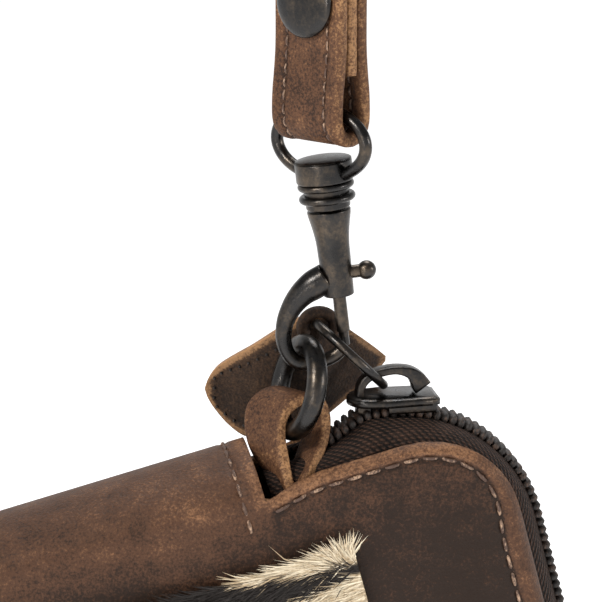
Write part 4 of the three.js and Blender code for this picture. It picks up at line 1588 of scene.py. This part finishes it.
    def edge_line(self, inset: float, rect: Rect, start: float) -> tuple:
        """The edge from the right notch round to the left one.

        Args:
            inset: How far inside the rectangle's edge.
            rect: The rectangle.
            start: How far from the middle the line begins and ends.

        Returns:
            Points (x, z) and the turn of the way out at each.
        """
        r = max(rect.corner - inset, 0.01)
        half, top, bottom = rect.half - inset, rect.top - inset, rect.bottom + inset
        corners = [(half - r, top - r), (half - r, bottom + r), (-half + r, bottom + r), (-half + r, top - r)]
        x0, x1, z0, z1 = half - r, half, bottom + r, top - r
        sides = [(x1, z1, x1, z0), (x0, bottom, -x0, bottom), (-x1, z0, -x1, z1), (-x0, top, -start, top)]
        line = [(x, top, 0) for x in np.linspace(start, half - r, 40)]
        for k, (cx, cz) in enumerate(corners):
            for a in np.radians(np.linspace(90 * k, 90 * k + 90, 40)):
                line.append((cx + r * math.sin(a), cz + r * math.cos(a), a))
            xa, za, xb, zb = sides[k]
            turn = math.radians(90 * k + 90)
            line += [(xa + (xb - xa) * t, za + (zb - za) * t, turn) for t in np.linspace(0, 1, 60)[1:]]
        table = np.array(line)
        return table[:, :2], table[:, 2]

    @staticmethod
    def spaced(line: np.ndarray, count: int, *columns: np.ndarray) -> list:
        """A line and values along it at even steps.

        Args:
            line: The line's points.
            count: How many steps.
            columns: Values at the line's points, single or in pairs.

        Returns:
            The line's new points and each of the values there.
        """
        run = distances(line) + 1e-9 * np.arange(len(line))
        where = np.linspace(0, run[-1], count)
        values = (line, *columns)
        return [sampled(c, run, where) if c.ndim > 1 else np.interp(where, run, c) for c in values]

    def rim_line(self) -> np.ndarray:
        """Where the rims' thread runs.

        Returns:
            Points (x, z).
        """
        start = self.notch + 0.6
        deep, _ = self.edge_line(self.seam_inset, self.leather, start)
        close, _ = self.edge_line(self.seam_inset - self.top_seam_shift, self.leather, start)
        share = smoothstep(-deep[:, 1], 4, 18)[:, None]
        (p,) = self.spaced(deep * share + close * (1 - share), 900)
        top = p[:, 1] > -8
        near = smoothstep(np.abs(p[:, 0]), self.notch, self.notch + 9) * top
        p[:, 1] = np.where(top, p[:, 1] - self.leather.top * (1 - near), p[:, 1])
        return p

    def fold_line(self, x: float) -> tuple:
        """Where the thread across an end of the fold runs.

        Args:
            x: Its place along the bag.

        Returns:
            Points (x, y, z) and the way out at each.
        """
        depth, rise = self.half_depth, self.fold_rise
        angles = np.linspace(0, math.pi, 60)
        down = np.linspace(-5, 0, 12)[:-1]
        flat = np.full(len(down), depth)
        y = np.concatenate([-flat, -depth * np.cos(angles), flat])
        z = np.concatenate([down, rise * np.sin(angles), down[::-1]])
        path = np.stack([np.full(len(y), x), y, z], 1) * np.array([1, 0.975, 0.97])
        out = np.stack([np.zeros(len(y)), y / depth, np.clip(z, 0, None) / rise], 1)
        out[:, 1] += np.where(z < 0.01, np.sign(y) * 0.01, 0)
        return path, out / np.linalg.norm(out, axis=1, keepdims=True)

    def seams(self) -> None:
        """Makes the thread along the rims and across both ends of the fold."""
        p = self.rim_line()
        rows = []
        for side in (-1, 1):
            y = side * (self.face(p[:, 0], p[:, 1]) + 0.02)
            path = np.stack([p[:, 0], y, p[:, 1]], 1)
            out = np.tile([0.0, side, 0.0], (len(path), 1))
            rows.append(seam(path, out, self.stitch_pitch, self.rim_stitch, self.thread))
        for end in (-1, 1):
            path, out = self.fold_line(end * (self.notch - self.fold_seam))
            rows.append(seam(path, out, self.stitch_pitch, self.fold_stitch, self.thread))
        thread = rows[0].joined(*rows[1:])
        place, finish = BAG.matrix(), [FINISH.thread]
        self.maker.piece("case_stitching", thread, place, finish, Body.BAG, Slot.DARK_LEATHER)

    def zip_line(self, start: float, count: int) -> tuple:
        """Stations along the zip.

        Args:
            start: How far beyond the notch it begins.
            count: How many.

        Returns:
            Base points, ways out, and the leather's and the chain's reach at each.
        """
        base, turn = self.edge_line(self.chain.corner, self.chain, self.notch + start)
        out = np.stack([np.sin(turn), np.cos(turn)], 1)
        leather = np.array([self.leather.reach(b, o) for b, o in zip(base, out)])
        chain = np.array([self.chain.reach(b, o) for b, o in zip(base, out)])
        near = smoothstep(np.abs(base[:, 0]), self.notch + 10.3, self.notch + 19.3)
        upper = (base[:, 1] > self.chain.top - self.chain.corner - 0.1) & (np.abs(out[:, 0]) < 0.01)
        chain = chain - np.where(upper, self.dip * (1 - near), 0)
        outer = base + out * chain[:, None]
        _, base, turn, leather, chain = self.spaced(outer, count, base, turn, leather, chain)
        return base, np.stack([np.sin(turn), np.cos(turn)], 1), leather, chain

    def zip(self) -> None:
        """Makes the tapes, the teeth and the slider."""
        self.tape(-1, "front_tape", "zip_tape_front")
        self.tape(1, "back_tape", "zip_tape_back")
        self.teeth()
        Slider(self.maker).build()

    def tape(self, side: int, name: str, node: str) -> None:
        """Makes one tape, bowed out between the leather and the chain.

        Args:
            side: -1 in front, 1 behind.
            name: The piece's name.
            node: The CAD node that it stands for.
        """
        p, out, leather, chain = self.zip_line(self.tape_start, 520)
        inner = self.half_depth - self.thick - 1.2
        low, high = leather - 2.6, chain - 1.35
        rings = []
        for t in np.linspace(0, 1, self.tape_rows):
            bow = math.sin(t * math.pi) * 1.3
            q = p + out * (low + (high - low) * t + bow * 0.8)[:, None]
            y = side * (inner * (1 - t) + 2.6 * t + bow * 0.55)
            rings.append(np.stack([q[:, 0], np.full(len(q), y), q[:, 1]], 1))
        made = grid(np.stack(rings, 1))
        made.numbers["along"] = np.repeat(distances(rings[-1]), self.tape_rows)
        made.numbers["across"] = np.tile(np.linspace(0, 11, self.tape_rows), len(p))
        if side < 0:
            made.faces = [face[::-1] for face in made.faces]
        place, finish, body, slot = BAG.matrix(), [FINISH.tape], Body.BAG, Slot.ZIP_TAPE
        self.maker.piece(name, made, place, finish, body, slot, (node,), solid=self.tape_thick)

    def teeth(self) -> None:
        """Makes the two meshed rows of rounded teeth as one piece."""
        p, out, _, chain = self.zip_line(self.teeth_start, 900)
        line = p + out * (chain - 0.85)[:, None]
        run = distances(line)
        count = int(run[-1] / self.pitch)
        heights = np.array([2.72, 2.6, 2.2, 1.2, 0, -0.5, -0.75])
        radii = np.array([0.22, 0.48, 0.64, 0.68, 0.64, 0.5, 0.2])
        long_way, deep_way = 0.95 * np.cos(turns(8))[:, None], 1.35 * np.sin(turns(8))[:, None]
        parts = []
        for row, side in ((0.0, -1), (0.5, 1)):
            where = (np.arange(count) + 0.25 + row) * self.pitch
            for (x, z), (ox, oz) in zip(sampled(line, run, where), sampled(out, run, where)):
                ring = long_way * np.array([oz, 0, -ox]) + deep_way * np.array([ox, 0, oz])
                body = [np.array([x, y, z]) + ring * r for y, r in zip(heights * side, radii)]
                parts.append(grid(np.array(body), around=True, caps=True))
        made = parts[0].joined(*parts[1:])
        place, finish = BAG.matrix(), [FINISH.teeth]
        self.maker.piece("zip_teeth", made, place, finish, Body.BAG, Slot.ZIP_TEETH, ("zip_chain",))


@dataclass
class Slider:
    """The zip's slider, in its own frame, with x along the zip and z up."""

    maker: Maker
    length: float = 13.9
    width: float = 9.4
    plate_low: float = 1.5
    plate_high: float = 2.75
    bail_width: float = 2.6
    bail_thick: float = 1.2
    bail_swell: float = 1.7
    place: Place = Place((10.3959, 0.2181, -569.0089), lean=-1)

    def build(self) -> None:
        """Makes the slider's plate, flanges, post, keel and open bail, cast in one."""
        side = self.width * 0.42 - 0.35
        flanges = [self.block((2.6, y, 1.6), (7.4, 0.75, 2.2)) for y in (-side, side)]
        post = self.block((-4.4, 0, 0.6), (2.2, 3.2, 2.4))
        keel = self.block((0, 0, -2.6), (8, 5.4, 0.9))
        made = self.plate().joined(*flanges, post, keel, self.bail())
        finish, body, slot = [FINISH.metal], Body.BAG, Slot.GUNMETAL
        self.maker.piece("slider", made, self.place.matrix(), finish, body, slot, ("zip_slider",))

    def plate(self) -> Surface:
        """The slider's upper plate, round in front and narrower behind.

        Returns:
            The plate's surface.
        """
        length, width, low, high = self.length, self.width, self.plate_low, self.plate_high
        outline = []
        for a in np.linspace(-1.45, 1.45, 15):
            outline.append((-length / 2 + 3.3 * (1 - math.cos(a)), width / 2 * 0.82 * math.sin(a)))
        back = [(-1.5, 0.46 * width), (length / 2 - 0.8, 0.42 * width), (length / 2, 0.34 * width)]
        flat = np.array([*outline, *back, *[(x, -y) for x, y in back[::-1]]])
        centre = flat.mean(0)
        levels = [(low, 0), (low, 0.93), (low + 0.12, 1), (high - 0.3, 1), (high, 0.93), (high, 0)]
        rings = [np.column_stack([centre + (flat - centre) * s, np.full(len(flat), z)]) for z, s in levels]
        return grid(np.array(rings), around=True)

    def bail(self) -> Surface:
        """The open bail, a strip that rises over the plate and widens at its free end.

        Returns:
            The bail's surface.
        """
        points = [(-4.99, 2.2), (-4.95, 3.4), (-4.5, 4.75), (-3.4, 5.75), (-1.6, 6.35), (0.6, 6.6)]
        p = smooth_path([*points, (2.8, 6.2), (4.2, 5.2), (5.15, 3.95)], 40)
        n = left_of(p)
        thick = self.bail_thick + self.bail_swell * smoothstep(np.linspace(0, 1, len(p)), 0.6, 1)
        rings = []
        for k in range(len(p)):
            section = round_section(thick[k], self.bail_width, 0.3, 3)
            q = p[k] + n[k] * (section[:, :1] - 0.3 * (thick[k] - self.bail_thick))
            rings.append(np.stack([q[:, 0], section[:, 1], q[:, 1]], 1))
        return grid(np.array(rings), around=True, caps=True)

    @staticmethod
    def block(centre: tuple, size: tuple) -> Surface:
        """A box with softened edges.

        Args:
            centre: Its middle.
            size: Its length, width and height.

        Returns:
            The box's surface.
        """
        half = np.array(size) / 2
        soft = min(half) * 0.35
        rings = []
        for z, s in ((-1, 0.0), (-1, 1.0), (-0.7, 1.0), (0.7, 1.0), (1, 1.0), (1, 0.0)):
            inset = soft if abs(z) == 1 else 0
            section = round_section(2 * (half[0] - inset), 2 * (half[1] - inset), soft * 0.6, 3) * s
            rings.append(np.column_stack([section, np.full(len(section), z * half[2])]))
        made = grid(np.array(rings), around=True)
        made.points = made.points + np.array(centre)
        return made


@dataclass
class HidePanel:
    """The hair-on hide: a skin, its hair and its black stripes."""

    maker: Maker
    case: Case
    hairs: int = 48000
    seed: int = 7
    tallest: float = 2.2

    def shade(self, a: np.ndarray, u: np.ndarray) -> np.ndarray:
        """How pale the hide is.

        Args:
            a: Places along the bag from the right notch.
            u: Heights from the fold.

        Returns:
            0 in the black stripes and 1 in the cream.
        """
        wave = 0.3 * np.sin(a * 0.61 + 1.2) + 0.2 * np.sin(a * 1.3 + u * 0.4)
        along = [-50, -25, -11, -3.5, 4.5, 11.1]
        centre = np.interp(a, along, [-8, -10.5, -12.1, -13.6, -13.9, -14.5]) + wave
        half = np.interp(a, along, [3.5, 3.2, 2.8, 2.3, 1.6, 0.7])
        first = smoothstep(np.abs(u - centre), half - 0.5, half + 0.5)
        phase = (u + 0.2 * a + 3.1 * np.sin(a * 0.09 + u * 0.045) + 2.2 * np.sin(u * 0.09)) / 17 * TAU
        band = np.cos(phase + 0.9) + 0.3 * np.sin(a * 0.17 + u * 0.13) + 0.2 * np.sin(a * 0.07 + 2)
        rest = 1 - smoothstep(band, 0.2, 0.4)
        return np.where(u > -27, first, np.minimum(rest, 1))

    def build(self) -> None:
        """Makes the skin and its hair."""
        c = self.case
        half, top, low = c.patch_half, c.patch_top, c.patch_bottom
        xs, zs = np.linspace(-half, half, 61), np.linspace(top, low, 158)
        gx, gz = np.meshgrid(xs, zs, indexing="ij")
        y = -(c.half_depth + 0.3 + c.patch_thick)
        edge = np.minimum(half - np.abs(gx), np.minimum(top - gz, gz - low))
        gy = y + 0.5 * np.clip(1 - edge / 1.2, 0, 1) ** 2
        made = grid(np.stack([gx, gy, gz], 2))
        # The skin takes 0.8 of the coat's paleness, a little darker than the hair: painted shade in the gaps
        # between hairs
        made.numbers["shade"] = self.shade(gx - c.notch, gz).reshape(-1) * 0.8
        place, finish, body, slot = BAG.matrix(), [FINISH.hide], Body.BAG, Slot.HIDE
        self.maker.piece("hide_skin", made, place, finish, body, slot, ("hide_patch",), solid=c.patch_thick)
        self.hair(y)

    def hair(self, y: float) -> None:
        """Makes the hair, combed down to the left, as ribbons of two quads each.

        Args:
            y: Where the skin's outside lies.
        """
        c = self.case
        half, top, low = c.patch_half, c.patch_top, c.patch_bottom
        rng = np.random.default_rng(self.seed)
        n = self.hairs
        x, z = rng.uniform(-half, half, n), rng.uniform(low, top, n)
        dense = rng.random(n) < 0.4
        z = np.where(dense, top - 30 * rng.random(n) ** 1.3, z)
        swirl = 22 * np.sin(x * 0.09 + 0.6) + 16 * np.sin(z * 0.12 + x * 0.05)
        lie = np.radians(198 + swirl + rng.normal(0, 9, n))
        corner = np.exp(-(((x - half) / 4.5) ** 2 + ((z - top) / 3.5) ** 2)) * (rng.random(n) < 0.8)
        lie = lie + corner * (np.radians(62) + rng.normal(0, 0.3, n) - lie)
        rim = np.exp(-(((top - z) / 1.6) ** 2)) * (1 - corner)
        lie = lie + rim * (np.radians(166) + rng.normal(0, 0.12, n) - lie)
        length = rng.uniform(2.4, 5.2, n) * (1 - 0.3 * corner)
        lift = rng.uniform(0.1, 0.4, n) + 0.15 * corner
        run = np.stack([np.cos(lie), np.zeros(n), np.sin(lie)], 1)
        out = np.array([0.0, -1.0, 0.0])
        root = np.stack([x, np.full(n, y + 0.03), z], 1)
        roll = rng.normal(0, 0.5, n)[:, None]
        side = np.cross(run, out) * np.cos(roll) + out * np.sin(roll)
        width = rng.uniform(0.06, 0.12, n)
        bend = rng.normal(0, 0.12, n)
        rows = []
        for t, w in ((0.0, 1.0), (0.5, 0.85), (1.0, 0.08)):
            rise = (lift * length * (t - 0.75 * t * t))[:, None]
            centre = root + run * (length * t)[:, None] + out * rise + side * (bend * length * t * t)[:, None]
            rows += [centre - side * (width * w)[:, None], centre + side * (width * w)[:, None]]
        points = np.stack(rows, 1).reshape(-1, 3)
        points[:, 1] = np.maximum(points[:, 1], y - self.tallest)
        base = np.arange(n)[:, None] * len(rows)
        faces = np.concatenate([base + np.array(f) for f in ((0, 2, 3, 1), (2, 4, 5, 3))])
        tint = self.shade(x - c.notch, z) * rng.uniform(0.75, 1.3, n) + rng.normal(0, 0.05, n)
        hair = Surface(points, [tuple(f) for f in faces.tolist()], {"shade": np.repeat(tint, len(rows))})
        place, finish = BAG.matrix(), [FINISH.hide]
        self.maker.piece("hide_hair", hair, place, finish, Body.BAG, Slot.HIDE, closed=False)


# ---- the studio


@dataclass
class Studio:
    """The floor, the lights and the camera."""

    maker: Maker
    camera_from_seat: tuple = (-50.543, -331.013, 89.117)
    azimuth: float = -8.5
    elevation: float = 13.5
    lens: float = 136.7
    floor: float = 5
    floor_z: float = -0.83
    white: float = 1.05
    bands: tuple = ((0.0, 1.0), (0.62, 1.0), (0.72, 0.25), (1.0, 0.35))
    softboxes: tuple = (
        ("key", (-0.62, -0.42, 0.55), 0.2, 6.0, (1, 0.96, 0.9)),
        ("strip", (-0.5, -0.75, 0.05), 0.09, 1.3, (1, 0.93, 0.84)),
        ("side", (0.75, -0.35, 0.2), 0.14, 2.2, (1, 0.97, 0.93)),
        ("top", (0.1, 0.45, 0.8), 0.4, 5.0, (1, 1, 1)),
    )

    def build(self) -> None:
        """Makes all of it."""
        self.ground()
        self.surround()
        self.lights()
        self.camera()

    def ground(self) -> None:
        """Makes the pale round floor."""
        mesh = bpy.data.meshes.new("floor")
        rim = [(self.floor * math.cos(a), self.floor * math.sin(a), self.floor_z) for a in turns(96)]
        mesh.from_pydata(rim, [], [tuple(range(96))])
        mesh.materials.append(self.maker.material(FINISH.ground))
        floor = bpy.data.objects.new("floor", mesh)
        bpy.context.scene.collection.objects.link(floor)

    def surround(self) -> None:
        """Makes the white surround, dimmer above the camera's band."""
        world = bpy.data.worlds.new("surround")
        g = Graph(world)
        place = g.node("ShaderNodeTexCoord", {}, {}, "Generated")
        height = g.node("ShaderNodeSeparateXYZ", {}, {0: place}, "Z")
        share = g.node("ShaderNodeMapRange", {}, {"Value": height, "From Min": -1.0})
        colour = g.node("ShaderNodeValToRGB", {"stops": self.bands}, {"Fac": share})
        glow = g.node("ShaderNodeBackground", {}, {"Color": colour, "Strength": self.white})
        g.node("ShaderNodeOutputWorld", {}, {"Surface": glow})
        bpy.context.scene.world = world

    def lights(self) -> None:
        """Makes the soft lights."""
        target = Vector(SEAT) * MM
        for name, offset, size, power, colour in self.softboxes:
            data = bpy.data.lights.new(name, "AREA")
            data.size, data.energy, data.color = size, power, colour
            made = bpy.data.objects.new(name, data)
            made.location = target + Vector(offset)
            made.rotation_mode = "QUATERNION"
            made.rotation_quaternion = (target - made.location).to_track_quat("-Z", "Y")
            bpy.context.scene.collection.objects.link(made)

    def camera(self) -> None:
        """Makes the camera of the close view."""
        data = bpy.data.cameras.new("camera")
        data.sensor_width, data.lens = 36, self.lens
        data.clip_start, data.clip_end = 0.01, 50
        made = bpy.data.objects.new("camera", data)
        a, e = math.radians(self.azimuth), math.radians(self.elevation)
        back = Vector((math.sin(a) * math.cos(e), -math.cos(a) * math.cos(e), math.sin(e)))
        right = Vector((math.cos(a), math.sin(a), 0))
        up = back.cross(right)
        turn = Matrix((right, up, back)).transposed().to_4x4()
        where = (Vector(SEAT) + Vector(self.camera_from_seat)) * MM
        made.matrix_world = Matrix.Translation(where) @ turn
        bpy.context.scene.collection.objects.link(made)
        bpy.context.scene.camera = made
        bpy.context.scene.view_settings.view_transform = "Standard"


def main() -> None:
    """Builds the bag piece by piece, then the studio."""
    logging.basicConfig(level=logging.INFO, format="%(message)s")
    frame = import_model()
    LOG.info("frame: %d nodes", len(frame["nodes"]))
    maker = Maker()
    StrapAssembly(maker).build()
    SnapHook(maker).build()
    RingAndTab(maker).build()
    Puller(maker).build()
    Case(maker).build()
    Studio(maker).build()
    bpy.context.view_layer.update()


if __name__ == "__main__":
    main()
